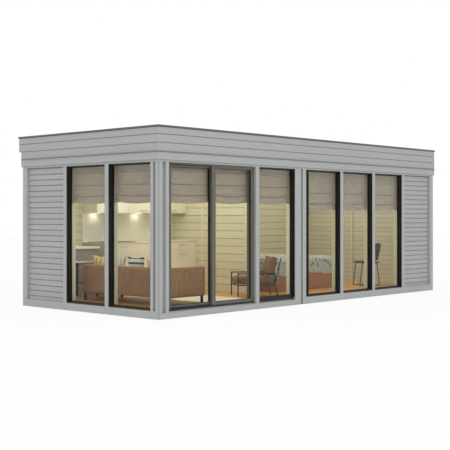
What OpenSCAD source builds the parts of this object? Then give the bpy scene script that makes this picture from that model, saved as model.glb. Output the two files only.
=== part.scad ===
// Garden office pod: a flat-roofed timber room of two modules with a glazed front.
// The origin is on the ground, at the middle of the wall footprint.
// +X runs along the front to the right, +Y to the back and +Z up.

/* [Floor] */
// Number of floor bearers
bearer_n = 5; // [3:1:8]
// Width of a floor bearer
bearer_w = 60; // [40:1:100]
// Height of a floor bearer
bearer_h = 70; // [50:1:90]
// Thickness of the floor deck
deck_t = 22; // [15:1:30]
// Thickness of the finished floorboards
board_t = 18; // [12:1:22]
// Gap between the floorboards and the lining
board_gap = 5; // [1:1:10]
// Thickness of the plinth boards
plinth_t = 40; // [30:1:40]
// Distance from the deck's top down to the plinth under the door
door_plinth_drop = 12; // [2:1:30]
// Thickness of the sill plates under the windows
plate_t = 16; // [10:1:28]

/* [Walls] */
// Distance the corner posts stand proud of the cladding
trim_proud = 40; // [40:1:45]
// Thickness of the cladding
clad_t = 20; // [15:1:25]
// Thickness of the wall panels
core_t = 100; // [90:1:140]
// Thickness of the inner lining
lining_t = 16; // [10:1:20]
// Width of the clad part of the front
front_clad_w = 865; // [500:1:1500]
// Width of the clad part of the left side
left_clad_w = 885; // [500:1:1500]
// Width of the square corner posts on each face
corner_w = 105; // [90:1:140]
// Width of the cover post at the module joint on the back
back_joint_w = 105; // [80:1:140]
// Width of the glazed corner post's strip on each face
post_strip = 64; // [50:1:80]
// Side of the notch along the glazed corner post's arris
arris_notch = 22; // [10:1:30]
// Width of the recess beside the glazed corner post, on the front
front_recess = 72; // [30:1:90]
// Width of the recess beside the glazed corner post, on the left
left_recess = 44; // [30:1:90]
// Width of the module post left of the joint
joint_post_l = 144; // [100:1:160]
// Width of the groove at the module joint
joint_groove = 51; // [30:1:60]
// Width of the module post right of the joint
joint_post_r = 80; // [60:1:120]
// Width of the packer between the right module post and its window
joint_packer = 67; // [20:1:80]
// Gap between like pieces that meet
butt = 1; // [0.5:0.1:2]

/* [Partition] */
// Thickness of the partition at the module joint
partition_t = 102; // [80:1:120]
// Width of the passage between the partition and the front wall
passage_w = 920; // [800:1:1100]

/* [Windows] */
// Height of the window openings
window_h = 1994; // [1900:1:2050]
// Width of a window on the front
front_pane_w = 848; // [800:1:900]
// Width of a window on the left
left_pane_w = 859; // [800:1:880]
// Width of a mullion
mullion_w = 78; // [60:1:100]
// Width of the window trim beside the door
front_trim_w = 57; // [40:1:80]
// Width of the window trim beside the front cladding
front_end_trim_w = 86; // [40:1:100]
// Width of the window trim beside the glazed corner, on the left
left_trim_w = 52; // [40:1:80]
// Width of the window trim beside the left cladding
left_end_trim_w = 74; // [40:1:100]
// Width of a window frame's face
frame_face = 20; // [16:1:40]
// Height of a window frame's foot in the right module and on the left
frame_foot = 26; // [24:1:50]
// Height of the window frame's foot beside the door
door_frame_foot = 40; // [24:1:60]
// Distance from the wall face back to the window frame's face
frame_setback = 46; // [42:1:62]
// Depth of a window frame
frame_d = 50; // [40:1:60]
// Thickness of the window frame's outer lip
lip_t = 8; // [4:1:12]
// Distance from the wall face back to the lip's edge
lip_back = 6; // [2:1:20]
// Thickness of the glazing units
glass_t = 24; // [18:1:28]
// Distance a glazing unit goes into its frame
glass_bite = 10; // [6:1:12]
// Clearance around a glazing unit in its groove
glass_gap = 0.3; // [0.2:0.1:0.8]

/* [Door] */
// Width of the door opening
door_w = 1783; // [1600:1:1800]
// Width of a door jamb
jamb_w = 45; // [30:1:60]
// Distance from the wall face back to the door jambs
jamb_back = 30; // [10:1:36]
// Height of the door head
door_head_h = 22; // [18:1:50]
// Height of the door sill
sill_t = 30; // [24:1:36]
// Distance from the wall face back to the sill's edge
sill_back = 42; // [40:1:60]
// Thickness of a door leaf
leaf_t = 38; // [36:1:42]
// Distance from the wall face back to the fixed leaf
leaf_back = 38; // [34:1:42]
// Gap between the two door leaves
leaf_gap = 8; // [6:1:12]
// Width of a leaf's stile
stile_w = 70; // [55:1:90]
// Height of a leaf's head rail
leaf_head = 30; // [26:1:60]
// Height of the sliding leaf's foot rail
leaf_foot = 30; // [26:1:60]
// Gap between the sliding leaf and the frame at its sides and head
slide_gap = 6; // [5:0.5:9]
// Gap between the sliding leaf and the sill
leaf_lift = 10; // [9:0.5:14]
// Height of the track on the sill
track_h = 4; // [2:0.5:4]
// Width of the track on the sill
track_w = 8; // [6:1:12]
// Gap between the leaf's runners and the track
runner_gap = 0.3; // [0.2:0.1:0.5]
// Length of a runner
runner_l = 70; // [40:1:100]
// Distance from the leaf's side to a runner
runner_inset = 120; // [60:1:200]
// Height of the flush pulls above the floor
pull_z = 1000; // [800:10:1200]
// Length of a flush pull
pull_l = 170; // [120:1:220]
// Width of a flush pull
pull_w = 28; // [20:1:34]
// Depth of a flush pull
pull_d = 9; // [5:1:12]

/* [Roof] */
// Height of the lowest fascia course
fascia_low = 111; // [90:1:120]
// Height of the fascia course above the drip strip
fascia_mid = 116; // [90:1:130]
// Height of the fascia courses above the back eave
fascia_high = 210; // [150:1:300]
// Thickness of the fascia
fascia_t = 18; // [12:1:24]
// Distance from the window head up to the fascia
fascia_reveal = 23; // [10:1:30]
// Thickness of the drip strip
drip_t = 4; // [2:0.5:6]
// Distance the drip strip stands proud of the fascia
drip_proud = 24; // [10:1:30]
// Distance the back eave stands out from the back wall
eave_out = 74; // [40:1:100]
// Thickness of the soffit under the back eave
soffit_t = 12; // [8:1:18]
// Thickness of the roof deck
roof_t = 22; // [18:1:30]
// Thickness of the roof membrane
membrane_t = 6; // [2:1:10]
// Height of the roof cap
cap_h = 24; // [15:1:40]
// Width of the roof cap
cap_w = 90; // [60:1:120]
// Distance the roof cap overhangs the fascia
cap_over = 10; // [5:1:20]
// Height of the joist space above the ceiling
roof_void = 126; // [80:1:200]
// Thickness of the ceiling
ceiling_t = 12; // [9:1:18]

/* [Blinds] */
// Thickness of a gathered blind
blind_t = 30; // [20:1:40]
// Distance from a blind's side to the side of its bay
blind_margin = 6; // [4:1:20]
// Distance the door's first blind reaches past the middle of the door
blind_lap = 70; // [0:1:90]
// Distance the blinds come down over the door and the left windows
blind_drop = 542; // [300:1:800]
// Distance the blinds come down over the right module's windows
far_blind_drop = 632; // [300:1:800]

/* [Sofa] */
// Depth of the sofa
sofa_d = 815; // [760:1:860]
// Height of the sofa's back and arms above the floor
sofa_h = 546; // [500:1:600]
// Height of the sofa's feet
sofa_foot_h = 110; // [60:1:140]
// Radius of a sofa foot
sofa_foot_r = 22; // [15:1:30]
// Height of the sofa's seat platform
sofa_seat_t = 100; // [80:1:130]
// Thickness of the sofa's arms
sofa_arm_t = 80; // [60:1:180]
// Thickness of the sofa's back
sofa_back_t = 100; // [80:1:200]
// Radius of the upholstered corners
sofa_r = 15; // [8:1:25]
// Height of the seat cushions
seat_pad_t = 120; // [100:1:140]
// Distance from the left wall face to the sofa's back
sofa_x = 450; // [300:1:500]
// Gap between the front lining and the sofa
sofa_front_gap = 164; // [100:1:300]
// Gap between the sofa and the worktop
sofa_back_gap = 94; // [50:1:300]
// Largest number of scatter cushions
scatter_n = 4; // [1:1:4]
// Side of a scatter cushion
scatter_s = 345; // [300:1:400]
// Gap between the near arm and the first scatter cushion
scatter_gap = 115; // [20:1:200]
// Thickness of a scatter cushion
scatter_t = 110; // [80:1:130]
// Clearance around loose cushions
soft_gap = 0.5; // [0.3:0.1:0.8]

/* [Rug] */
// Width of the rug
rug_w = 930; // [800:1:960]
// Length of the rug
rug_l = 1600; // [1400:1:1650]
// Thickness of the rug
rug_t = 12; // [6:1:20]
// Gap between the sofa and the rug
rug_gap = 20; // [10:1:60]

/* [Kitchen] */
// Depth of the kitchen units
unit_d = 570; // [540:1:600]
// Height of the kitchen units
unit_h = 815; // [780:1:860]
// Gap between the bar table and the kitchen units
unit_gap = 123; // [60:1:300]
// Height of the toe recess
toe_h = 100; // [80:1:150]
// Depth of the toe recess
toe_d = 50; // [40:1:70]
// Thickness of the worktop
worktop_t = 30; // [20:1:40]
// Distance the worktop overhangs the units
worktop_over = 20; // [10:1:40]
// Depth of the wall cupboards
cupboard_d = 330; // [280:1:360]
// Distance from the ceiling down to the wall cupboards
cupboard_drop = 280; // [100:1:320]
// Height of the wall cupboards
cupboard_h = 700; // [600:1:800]
// Length of the bar table
bar_l = 740; // [600:1:780]
// Width of the bar table
bar_w = 560; // [450:1:600]
// Height of the bar table
bar_h = 790; // [740:1:900]
// Thickness of the bar table's top and shelf
bar_t = 30; // [20:1:40]
// Height of the bar table's apron
bar_apron_h = 180; // [120:1:220]
// Thickness of the bar table's apron
bar_apron_t = 22; // [16:1:30]
// Side of a bar table leg
bar_leg = 30; // [20:1:40]

/* [Armchair] */
// Width of the armchair's seat
easy_w = 480; // [440:1:600]
// Depth of the armchair's seat
easy_d = 590; // [500:1:640]
// Height of the armchair's seat rail above the floor
easy_rail_z = 187; // [170:1:240]
// Height of the armchair's arms above the floor
easy_arm_z = 365; // [340:1:480]
// Height of the top of the armchair's back above the floor
easy_back_z = 608; // [560:1:700]
// Thickness of the armchair's cushions
easy_pad_t = 120; // [90:1:130]
// Side of the armchair's legs and arms
easy_bar = 18; // [16:1:28]
// Side of the armchair's back posts and cross rails
easy_post = 13; // [10:1:15]
// Lean of the armchair's back
easy_lean = 13; // [8:1:20]
// Distance the armchair's back legs reach out at the floor
easy_splay = 55; // [20:1:80]
// Direction the armchair faces, from +X towards +Y
easy_turn = 144; // [130:1:165]
// Gap between the rug and the armchair
easy_rug_gap = 138; // [60:1:200]
// Gap between the front lining and the armchair
easy_front_gap = 116; // [60:1:150]

/* [Bed] */
// Width of the bed
bed_w = 1700; // [1400:1:1800]
// Length of the bed
bed_l = 1970; // [1900:1:2000]
// Height of the bed's base
bed_base_h = 310; // [200:1:350]
// Height of the mattress and its covers
bed_pad_h = 260; // [180:1:300]
// Radius of the mattress corners
bed_r = 70; // [40:1:100]
// Distance the covers hang proud of the bed's base
bed_over = 25; // [10:1:40]
// Gap between the partition and the bed
bed_gap = 375; // [200:1:500]

/* [Chair] */
// Width of the chair's seat
chair_w = 420; // [380:1:460]
// Depth of the chair's seat
chair_d = 410; // [380:1:460]
// Height of the chair's seat above the floor
chair_z = 440; // [420:1:480]
// Height of the chair's back above the floor
chair_back_z = 765; // [700:1:850]
// Thickness of the chair's shell
chair_t = 28; // [18:1:40]
// Side of the chair's frame bars
chair_bar = 14; // [10:1:20]
// Splay of the chair's frame at the floor
chair_splay = 55; // [20:1:80]
// Lean of the chair's back
chair_lean = 12; // [6:1:18]
// Direction the chair faces, from +X towards +Y
chair_turn = 150; // [120:1:180]
// Distance from the right wall face to the middle of the chair
chair_x = 1060; // [900:1:1200]
// Distance from the front wall face to the middle of the chair
chair_y = 760; // [650:1:900]

/* [Hidden] */
$fn = 48;
eps = 1;
far = 10000;

// Levels above the ground
deck_z = bearer_h + deck_t;
floor_z = deck_z + board_t;
foot_z = deck_z + plate_t;
sill_z = deck_z + sill_t;
door_plinth_z = deck_z - door_plinth_drop;
head_z = foot_z + window_h;
door_head_z = head_z - door_head_h;
fascia_z = head_z + fascia_reveal;
drip_z = fascia_z + fascia_low;
mid_z = drip_z + drip_t;
eave_z = mid_z + fascia_mid;
fascia_top = eave_z + fascia_high;
pod_h = fascia_top + cap_h;
roof_z = fascia_top - membrane_t - roof_t;
ceiling_z = roof_z - roof_void - ceiling_t;

// Depths from the wall face inwards
core_d0 = trim_proud + clad_t;
core_d1 = core_d0 + core_t;
wall_t = core_d1 + lining_t;

// Places along the front, from its left corner
f_trim = post_strip + front_recess;
f_door = f_trim + front_trim_w;
f_door_end = f_door + door_w;
f_pane = f_door_end + mullion_w;
f_joint = f_pane + front_pane_w;
f_groove = f_joint + joint_post_l;
f_groove_end = f_groove + joint_groove;
f_packer = f_groove_end + joint_post_r;
f_module = f_packer + joint_packer;
front_pitch = front_pane_w + mullion_w;
module_panes = 3;
f_end = f_module + module_panes * front_pitch - mullion_w;
f_clad = f_end + front_end_trim_w;
pod_l = f_clad + front_clad_w + corner_w;
joint_mid = (f_groove + f_groove_end) / 2;

// Places along the left side, from its front corner
l_trim = post_strip + left_recess;
l_pane = l_trim + left_trim_w;
left_pitch = left_pane_w + mullion_w;
left_panes = 2;
l_end = l_pane + left_panes * left_pitch - mullion_w;
l_clad = l_end + left_end_trim_w;
pod_w = l_clad + left_clad_w + corner_w;

// Places along the back, from its left corner
b_joint = joint_mid - back_joint_w / 2;
b_joint_end = joint_mid + back_joint_w / 2;

// Door leaves
slide_d = leaf_back + leaf_t + leaf_gap;
slide_s = f_door + jamb_w + slide_gap;
leaf_w = (f_door_end - slide_s + stile_w) / 2;
fixed_s = f_door_end - leaf_w;
slide_foot_z = sill_z + leaf_lift;
slide_head_z = door_head_z - slide_gap;
fixed_foot = leaf_lift + leaf_foot;

// The blinds hang inside their bays, flush with the wall's inner face
blind_d = wall_t - blind_t;

// Furniture
partition_s = joint_mid - partition_t / 2;
room_back = pod_w - wall_t;
unit_x = wall_t + butt + bar_l + unit_gap;
sofa_y = wall_t + sofa_front_gap;
sofa_l = room_back - unit_d - worktop_over - sofa_back_gap - sofa_y;
sofa_seat_z = floor_z + sofa_foot_h + sofa_seat_t;
pad_z = sofa_seat_z + soft_gap;
rug_x = sofa_x + sofa_d + rug_gap;
easy_run = (easy_back_z - easy_rail_z) * tan(easy_lean);
easy_side = easy_w / 2 + easy_bar;
easy_front = (easy_d + easy_bar) / 2;
easy_back = (easy_d + easy_post) / 2 + easy_run;
easy_x = rug_x + rug_w + easy_rug_gap + easy_side * sin(easy_turn) - easy_front * cos(easy_turn);
easy_y = wall_t + easy_front_gap + easy_back * sin(easy_turn) - easy_side * cos(easy_turn);
bed_s = partition_s + partition_t + bed_gap;

paint = [0.63, 0.65, 0.65];
paint_dark = [0.36, 0.36, 0.36];
black = [0.07, 0.07, 0.06];
bronze = [0.30, 0.29, 0.26];
pine = [0.78, 0.73, 0.56];
oak = [0.62, 0.43, 0.22];
raw_wood = [0.66, 0.56, 0.42];
linen = [0.58, 0.53, 0.46];
cream = [0.84, 0.80, 0.68];
tan = [0.53, 0.41, 0.32];
clear = [0.75, 0.82, 0.84, 0.35];

// Each wall is drawn in its own frame: first along the wall, then inwards, then up.
module on_front() {
    translate([-pod_l / 2, -pod_w / 2, 0]) children();
}
module on_left() {
    translate([-pod_l / 2, -pod_w / 2, 0]) mirror([1, -1, 0]) children();
}
module on_back() {
    translate([-pod_l / 2, pod_w / 2, 0]) mirror([0, 1, 0]) children();
}
module on_right() {
    translate([pod_l / 2, -pod_w / 2, 0]) rotate([0, 0, 90]) children();
}

// A straight bar between three pairs of limits
module bar(s, d, z) {
    translate([s[0], d[0], z[0]]) cube([s[1] - s[0], d[1] - d[0], z[1] - z[0]]);
}

// A flat pad with round corners in plan
module pad(w, l, h, r) {
    linear_extrude(h) {
        translate([r, 0]) square([w - 2 * r, l]);
        translate([0, r]) square([w, l - 2 * r]);
        for (x = [r, w - r], y = [r, l - r])
            translate([x, y]) circle(r);
    }
}

// A post that stands on the deck, with its outer band running down to the ground
module deck_post(corner) {
    translate([0, 0, deck_z]) linear_extrude(head_z - deck_z) children();
    linear_extrude(foot_z) intersection() {
        children();
        union() {
            square([far, plinth_t]);
            if (corner) square([plinth_t, far]);
        }
    }
}

module floor_bearers() color(raw_wood) on_front() {
    pitch = (pod_w - 2 * plinth_t - bearer_w) / (bearer_n - 1);
    for (i = [0 : bearer_n - 1])
        translate([0, plinth_t + i * pitch, 0])
            bar([plinth_t, pod_l - plinth_t], [0, bearer_w], [0, bearer_h]);
}

module floor_deck() color(raw_wood) on_front()
    bar([plinth_t, pod_l - plinth_t], [plinth_t, pod_w - plinth_t], [bearer_h, deck_z]);

module floorboards() color(oak) on_front() {
    edge = wall_t + board_gap;
    bar([edge, pod_l - edge], [edge, pod_w - edge], [deck_z, floor_z]);
}

module plinth_boards() color(paint) {
    d = [0, plinth_t];
    on_front() bar([post_strip, f_joint], d, [0, door_plinth_z]);
    on_front() bar([f_packer, pod_l - corner_w], d, [0, foot_z]);
    on_left() bar([post_strip, pod_w - corner_w], d, [0, foot_z]);
    on_right() bar([corner_w, pod_w - corner_w], d, [0, foot_z]);
    on_back() bar([corner_w, b_joint], d, [0, foot_z]);
    on_back() bar([b_joint_end, pod_l - corner_w], d, [0, foot_z]);
}

// The post between the two glazed sides: a strip on each face, notched at the arris
module glazed_corner_plan() {
    difference() {
        union() {
            square([f_door, min(wall_t, l_pane)]);
            square([min(wall_t, f_door), l_pane]);
        }
        translate([-eps, -eps]) square(arris_notch + eps);
        translate([post_strip, -eps]) square([far, trim_proud + eps]);
        translate([-eps, post_strip]) square([trim_proud + eps, far]);
    }
}

// A square post, rebated for the panels' cladding
module clad_corner_plan() {
    difference() {
        square(core_d1);
        translate([corner_w, -eps]) square([far, core_d0 + eps]);
        translate([-eps, corner_w]) square([core_d0 + eps, far]);
    }
}

module corner_posts() color(paint) {
    on_front() deck_post(true) glazed_corner_plan();
    on_left() translate([pod_w, 0, 0]) mirror([1, 0, 0]) deck_post(true) clad_corner_plan();
    on_right() deck_post(true) clad_corner_plan();
    on_right() translate([pod_w, 0, 0]) mirror([1, 0, 0]) deck_post(true) clad_corner_plan();
}

// The posts where the two modules meet: the left one carries the floor of the groove
module module_posts() color(paint) {
    on_front() deck_post(false) {
        translate([f_joint, 0]) square([joint_post_l, wall_t]);
    }
    on_front() deck_post(false) difference() {
        translate([f_groove + butt, 0]) square([f_module - f_groove - butt, wall_t]);
        translate([f_groove, -eps]) square([joint_groove, trim_proud + eps]);
        translate([f_packer, -eps]) square([joint_packer + eps, frame_setback + eps]);
    }
    on_back() deck_post(false)
        translate([b_joint, 0]) square([back_joint_w, core_d1]);
}

module wall_panel(s) {
    bar(s, [core_d0, core_d1], [deck_z, head_z]);
}
module front_wall() color(raw_wood) on_front() wall_panel([f_end, pod_l - core_d1]);
module left_wall() color(raw_wood) on_left() wall_panel([l_end, pod_w - core_d1]);
module right_wall() color(raw_wood) on_right() wall_panel([core_d1, pod_w - core_d1]);
module back_wall() color(raw_wood) on_back() {
    wall_panel([core_d1, b_joint]);
    wall_panel([b_joint_end, pod_l - core_d1]);
}

module cladding(s) {
    bar(s, [trim_proud, core_d0], [deck_z, head_z]);
}
module front_cladding() color(paint) on_front() cladding([f_clad, pod_l - corner_w]);
module left_cladding() color(paint) on_left() cladding([l_clad, pod_w - corner_w]);
module right_cladding() color(paint) on_right() cladding([corner_w, pod_w - corner_w]);
module back_cladding() color(paint) on_back() {
    cladding([corner_w, b_joint]);
    cladding([b_joint_end, pod_l - corner_w]);
}

module wall_linings() color(pine) {
    d = [core_d1, wall_t];
    full = [deck_z, ceiling_z];
    below = [deck_z, head_z - butt];
    above = [head_z, ceiling_z];
    long = [wall_t + butt, pod_l - wall_t - butt];
    short = [core_d1, pod_w - core_d1];
    on_front() bar([f_end, long[1]], d, below);
    on_front() bar(long, d, above);
    on_left() bar([l_end, short[1]], d, below);
    on_left() bar(short, d, above);
    on_right() bar(short, d, full);
    on_back() bar(long, d, full);
}

module partition() color(pine) on_front()
    bar([partition_s, partition_s + partition_t], [wall_t + passage_w, room_back], [floor_z, ceiling_z]);

module long_headers() color(paint) {
    on_front() bar([0, pod_l], [0, core_d1], [head_z, roof_z]);
    on_back() bar([0, pod_l], [0, core_d1], [head_z, roof_z]);
}
module end_headers() color(paint) {
    on_left() bar([core_d1, pod_w - core_d1], [0, core_d1], [head_z, roof_z]);
    on_right() bar([core_d1, pod_w - core_d1], [0, core_d1], [head_z, roof_z]);
}

module ceiling() color(cream) on_front()
    bar([core_d1, pod_l - core_d1], [core_d1, pod_w - core_d1], [ceiling_z, ceiling_z + ceiling_t]);

module roof_deck() color(raw_wood) on_front()
    bar([0, pod_l], [0, pod_w + eave_out - fascia_t], [roof_z, roof_z + roof_t]);

module roof_membrane() color(paint_dark) on_front()
    bar([0, pod_l], [0, pod_w + eave_out - fascia_t], [roof_z + roof_t, fascia_top]);

module roof_cap() color(paint_dark) {
    out = fascia_t + cap_over;
    back_end = pod_w + eave_out + cap_over;
    z = [fascia_top, pod_h];
    on_front() bar([-out, pod_l + out], [-out, cap_w - out], z);
    on_front() bar([-out, pod_l + out], [back_end - cap_w, back_end], z);
    on_left() bar([cap_w - out + butt, back_end - cap_w - butt], [-out, cap_w - out], z);
    on_right() bar([cap_w - out + butt, back_end - cap_w - butt], [-out, cap_w - out], z);
}

// The end boards: the courses above the eave run on past the back wall
module end_fascia() {
    back_end = pod_w + fascia_t;
    eave_end = pod_w + eave_out;
    rotate([90, 0, 0])
        linear_extrude(fascia_t)
            polygon([
                [butt, mid_z], [back_end, mid_z], [back_end, eave_z],
                [eave_end, eave_z], [eave_end, fascia_top], [butt, fascia_top]
            ]);
}

module upper_fascia() color(paint) {
    on_front() bar([-fascia_t, pod_l + fascia_t], [-fascia_t, 0], [mid_z, fascia_top]);
    on_left() end_fascia();
    on_right() end_fascia();
    on_back() bar([butt, pod_l - butt], [-eave_out, fascia_t - eave_out], [eave_z, fascia_top]);
}

module lower_fascia() color(paint) {
    d = [-fascia_t, 0];
    on_front() bar([-fascia_t, pod_l + fascia_t], d, [fascia_z, drip_z]);
    on_left() bar([butt, pod_w + fascia_t], d, [fascia_z, drip_z]);
    on_right() bar([butt, pod_w + fascia_t], d, [fascia_z, drip_z]);
    on_back() bar([butt, pod_l - butt], d, [fascia_z, eave_z]);
}

module drip_strips() color(paint) {
    out = fascia_t + drip_proud;
    z = [drip_z, mid_z];
    on_front() bar([-out, pod_l + out], [-out, 0], z);
    on_left() bar([butt, pod_w + fascia_t], [-out, 0], z);
    on_right() bar([butt, pod_w + fascia_t], [-out, 0], z);
}

module eave_soffit() color(paint) on_back()
    bar([0, pod_l], [fascia_t - eave_out, 0], [eave_z, eave_z + soffit_t]);

module mullions() color(paint) {
    d = [0, wall_t];
    on_front() bar([f_door_end, f_pane], d, [sill_z, head_z]);
    on_front() bar([f_door_end, f_pane], [0, plinth_t], [door_plinth_z, sill_z + eps]);
    on_front() for (i = [1 : module_panes - 1])
        translate([f_module + i * front_pitch, 0, 0]) bar([-mullion_w, 0], d, [foot_z, head_z]);
    on_left() for (i = [1 : left_panes - 1])
        translate([l_pane + i * left_pitch, 0, 0]) bar([-mullion_w, 0], d, [foot_z, head_z]);
}

module window_trims() color(paint) {
    on_front() bar([f_trim, f_door], [0, trim_proud], [door_plinth_z, head_z]);
    on_front() bar([f_end, f_clad], [0, core_d0], [foot_z, head_z]);
    on_left() bar([l_trim, l_pane], [0, trim_proud], [foot_z, head_z]);
    on_left() bar([l_end, l_clad], [0, core_d0], [foot_z, head_z]);
}

// The door's sill carries the sliding leaf's track and runs on under the first window
module window_sills() color(bronze) {
    track = slide_d + leaf_t / 2;
    on_front() {
        bar([f_door, f_joint], [sill_back, wall_t], [deck_z, sill_z]);
        bar([f_door + jamb_w, f_door_end - jamb_w],
            [track - track_w / 2, track + track_w / 2], [sill_z - eps, sill_z + track_h]);
    }
    on_front() bar([f_module, f_end], [plinth_t, wall_t], [deck_z, foot_z]);
    on_left() bar([l_pane, l_end], [plinth_t, wall_t], [deck_z, foot_z]);
}

// Section of a glazed frame: its face, a glazing groove and an outer lip
module frame_section(face, d, t, lip) {
    g0 = d + (t - glass_t) / 2 - glass_gap;
    g1 = g0 + glass_t + 2 * glass_gap;
    groove = face - glass_bite - glass_gap;
    front = lip > 0 ? [[0, d - lip], [lip_t, d - lip], [lip_t, d]] : [[0, d]];
    polygon(concat(front, [
        [face, d], [face, g0], [groove, g0], [groove, g1],
        [face, g1], [face, d + t], [0, d + t]
    ]));
}

// The mitre of a bar, drawn along the wall and up
module mitre(points) {
    translate([0, far / 2, 0]) rotate([90, 0, 0]) linear_extrude(far) polygon(points);
}

// One stile of a frame that is w wide and stands between two levels
module frame_stile(z, face, foot, head, d, t, lip) {
    intersection() {
        translate([0, 0, z[0]]) linear_extrude(z[1] - z[0]) frame_section(face, d, t, lip);
        mitre([[0, z[0]], [face, z[0] + foot], [face, z[1] - head], [0, z[1]]]);
    }
}
module frame_stiles(w, z, face, foot, head, d, t, lip) {
    frame_stile(z, face, foot, head, d, t, lip);
    translate([w, 0, 0]) mirror([1, 0, 0]) frame_stile(z, face, foot, head, d, t, lip);
}
module frame_foot_rail(w, z, face, foot, d, t, lip) {
    intersection() {
        translate([w, 0, z[0]]) rotate([0, -90, 0]) linear_extrude(w) frame_section(foot, d, t, lip);
        mitre([[0, z[0]], [w, z[0]], [w - face, z[0] + foot], [face, z[0] + foot]]);
    }
}
module frame_head_rail(w, z, face, head, d, t, lip) {
    intersection() {
        translate([0, 0, z[1]]) rotate([0, 90, 0]) linear_extrude(w) frame_section(head, d, t, lip);
        mitre([[0, z[1]], [w, z[1]], [w - face, z[1] - head], [face, z[1] - head]]);
    }
}
module frame_glass(w, z, face, foot, head, d, t) {
    g = d + (t - glass_t) / 2;
    bar([face - glass_bite, w - face + glass_bite], [g, g + glass_t],
        [z[0] + foot - glass_bite, z[1] - head + glass_bite]);
}

// Puts a window frame in every window: beside the door, in the right module and on the left.
module each_window(part) {
    on_front() translate([f_pane, 0, 0])
        window(part, front_pane_w, [sill_z, head_z], door_frame_foot);
    on_front() for (i = [0 : module_panes - 1])
        translate([f_module + i * front_pitch, 0, 0])
            window(part, front_pane_w, [foot_z, head_z], frame_foot);
    on_left() for (i = [0 : left_panes - 1])
        translate([l_pane + i * left_pitch, 0, 0])
            window(part, left_pane_w, [foot_z, head_z], frame_foot);
}
module window(part, w, z, foot) {
    lip = frame_setback - lip_back;
    if (part == "stiles") frame_stiles(w, z, frame_face, foot, frame_face, frame_setback, frame_d, lip);
    if (part == "rails") frame_foot_rail(w, z, frame_face, foot, frame_setback, frame_d, lip);
    if (part == "rails") frame_head_rail(w, z, frame_face, frame_face, frame_setback, frame_d, lip);
    if (part == "glass") frame_glass(w, z, frame_face, foot, frame_face, frame_setback, frame_d);
}
module window_stiles() color(black) each_window("stiles");
module window_rails() color(black) each_window("rails");
module window_glass() color(clear) each_window("glass");

module door_jambs() color(bronze) on_front() {
    z = [sill_z, door_head_z];
    bar([f_door, f_door + jamb_w], [jamb_back, blind_d], z);
    bar([f_door_end - jamb_w, f_door_end], [leaf_back + leaf_t, blind_d], z);
}
module door_head() color(bronze) on_front()
    bar([f_door, f_door_end], [jamb_back, blind_d], [door_head_z, head_z]);

module fixed_leaf_stiles() color(bronze) on_front() translate([fixed_s, 0, 0])
    frame_stiles(leaf_w, [sill_z, door_head_z], stile_w, fixed_foot, leaf_head, leaf_back, leaf_t, 0);
module fixed_leaf_rails() color(bronze) on_front() translate([fixed_s, 0, 0]) {
    frame_foot_rail(leaf_w, [sill_z, door_head_z], stile_w, fixed_foot, leaf_back, leaf_t, 0);
    frame_head_rail(leaf_w, [sill_z, door_head_z], stile_w, leaf_head, leaf_back, leaf_t, 0);
}
module fixed_leaf_glass() color(clear) on_front() translate([fixed_s, 0, 0])
    frame_glass(leaf_w, [sill_z, door_head_z], stile_w, fixed_foot, leaf_head, leaf_back, leaf_t);

// A flush pull, cut as an upright slot with round ends
module flush_pull() {
    reach = pull_l / 2 - pull_w / 2;
    translate([stile_w / 2, 0, floor_z + pull_z]) rotate([-90, 0, 0]) {
        for (end = [-1, 1])
            translate([0, end * reach, 0]) cylinder(h = pull_d + eps, r = pull_w / 2);
        translate([-pull_w / 2, -reach, 0]) cube([pull_w, 2 * reach, pull_d + eps]);
    }
}
module sliding_leaf_stiles() color(bronze) on_front() translate([slide_s, 0, 0])
    difference() {
        frame_stiles(leaf_w, [slide_foot_z, slide_head_z], stile_w, leaf_foot, leaf_head, slide_d, leaf_t, 0);
        translate([0, slide_d - eps, 0]) flush_pull();
        translate([0, slide_d + leaf_t - pull_d, 0]) flush_pull();
    }
// The foot rail's runners stand on the sill's track.
module sliding_leaf_rails() color(bronze) on_front() translate([slide_s, 0, 0]) {
    z = [slide_foot_z, slide_head_z];
    d = slide_d + leaf_t / 2;
    frame_foot_rail(leaf_w, z, stile_w, leaf_foot, slide_d, leaf_t, 0);
    for (s = [runner_inset, leaf_w - runner_inset - runner_l])
        bar([s, s + runner_l], [d - track_w / 2, d + track_w / 2],
            [sill_z + track_h + runner_gap, slide_foot_z + eps]);
    frame_head_rail(leaf_w, z, stile_w, leaf_head, slide_d, leaf_t, 0);
}
module sliding_leaf_glass() color(clear) on_front() translate([slide_s, 0, 0])
    frame_glass(leaf_w, [slide_foot_z, slide_head_z], stile_w, leaf_foot, leaf_head, slide_d, leaf_t);

module blind(s, w, drop)
    bar([s + blind_margin, s + w - blind_margin], [blind_d, wall_t], [head_z - drop, head_z]);
module blinds() color(linen) {
    on_front() blind(f_door, door_w / 2 + blind_lap, blind_drop);
    on_front() blind(f_door + door_w / 2 + blind_lap, door_w / 2 - blind_lap, blind_drop);
    on_front() blind(f_pane, front_pane_w, blind_drop);
    on_front() for (i = [0 : module_panes - 1])
        blind(f_module + i * front_pitch, front_pane_w, far_blind_drop);
    on_left() for (i = [0 : left_panes - 1])
        blind(l_pane + i * left_pitch, left_pane_w, blind_drop);
}

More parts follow.
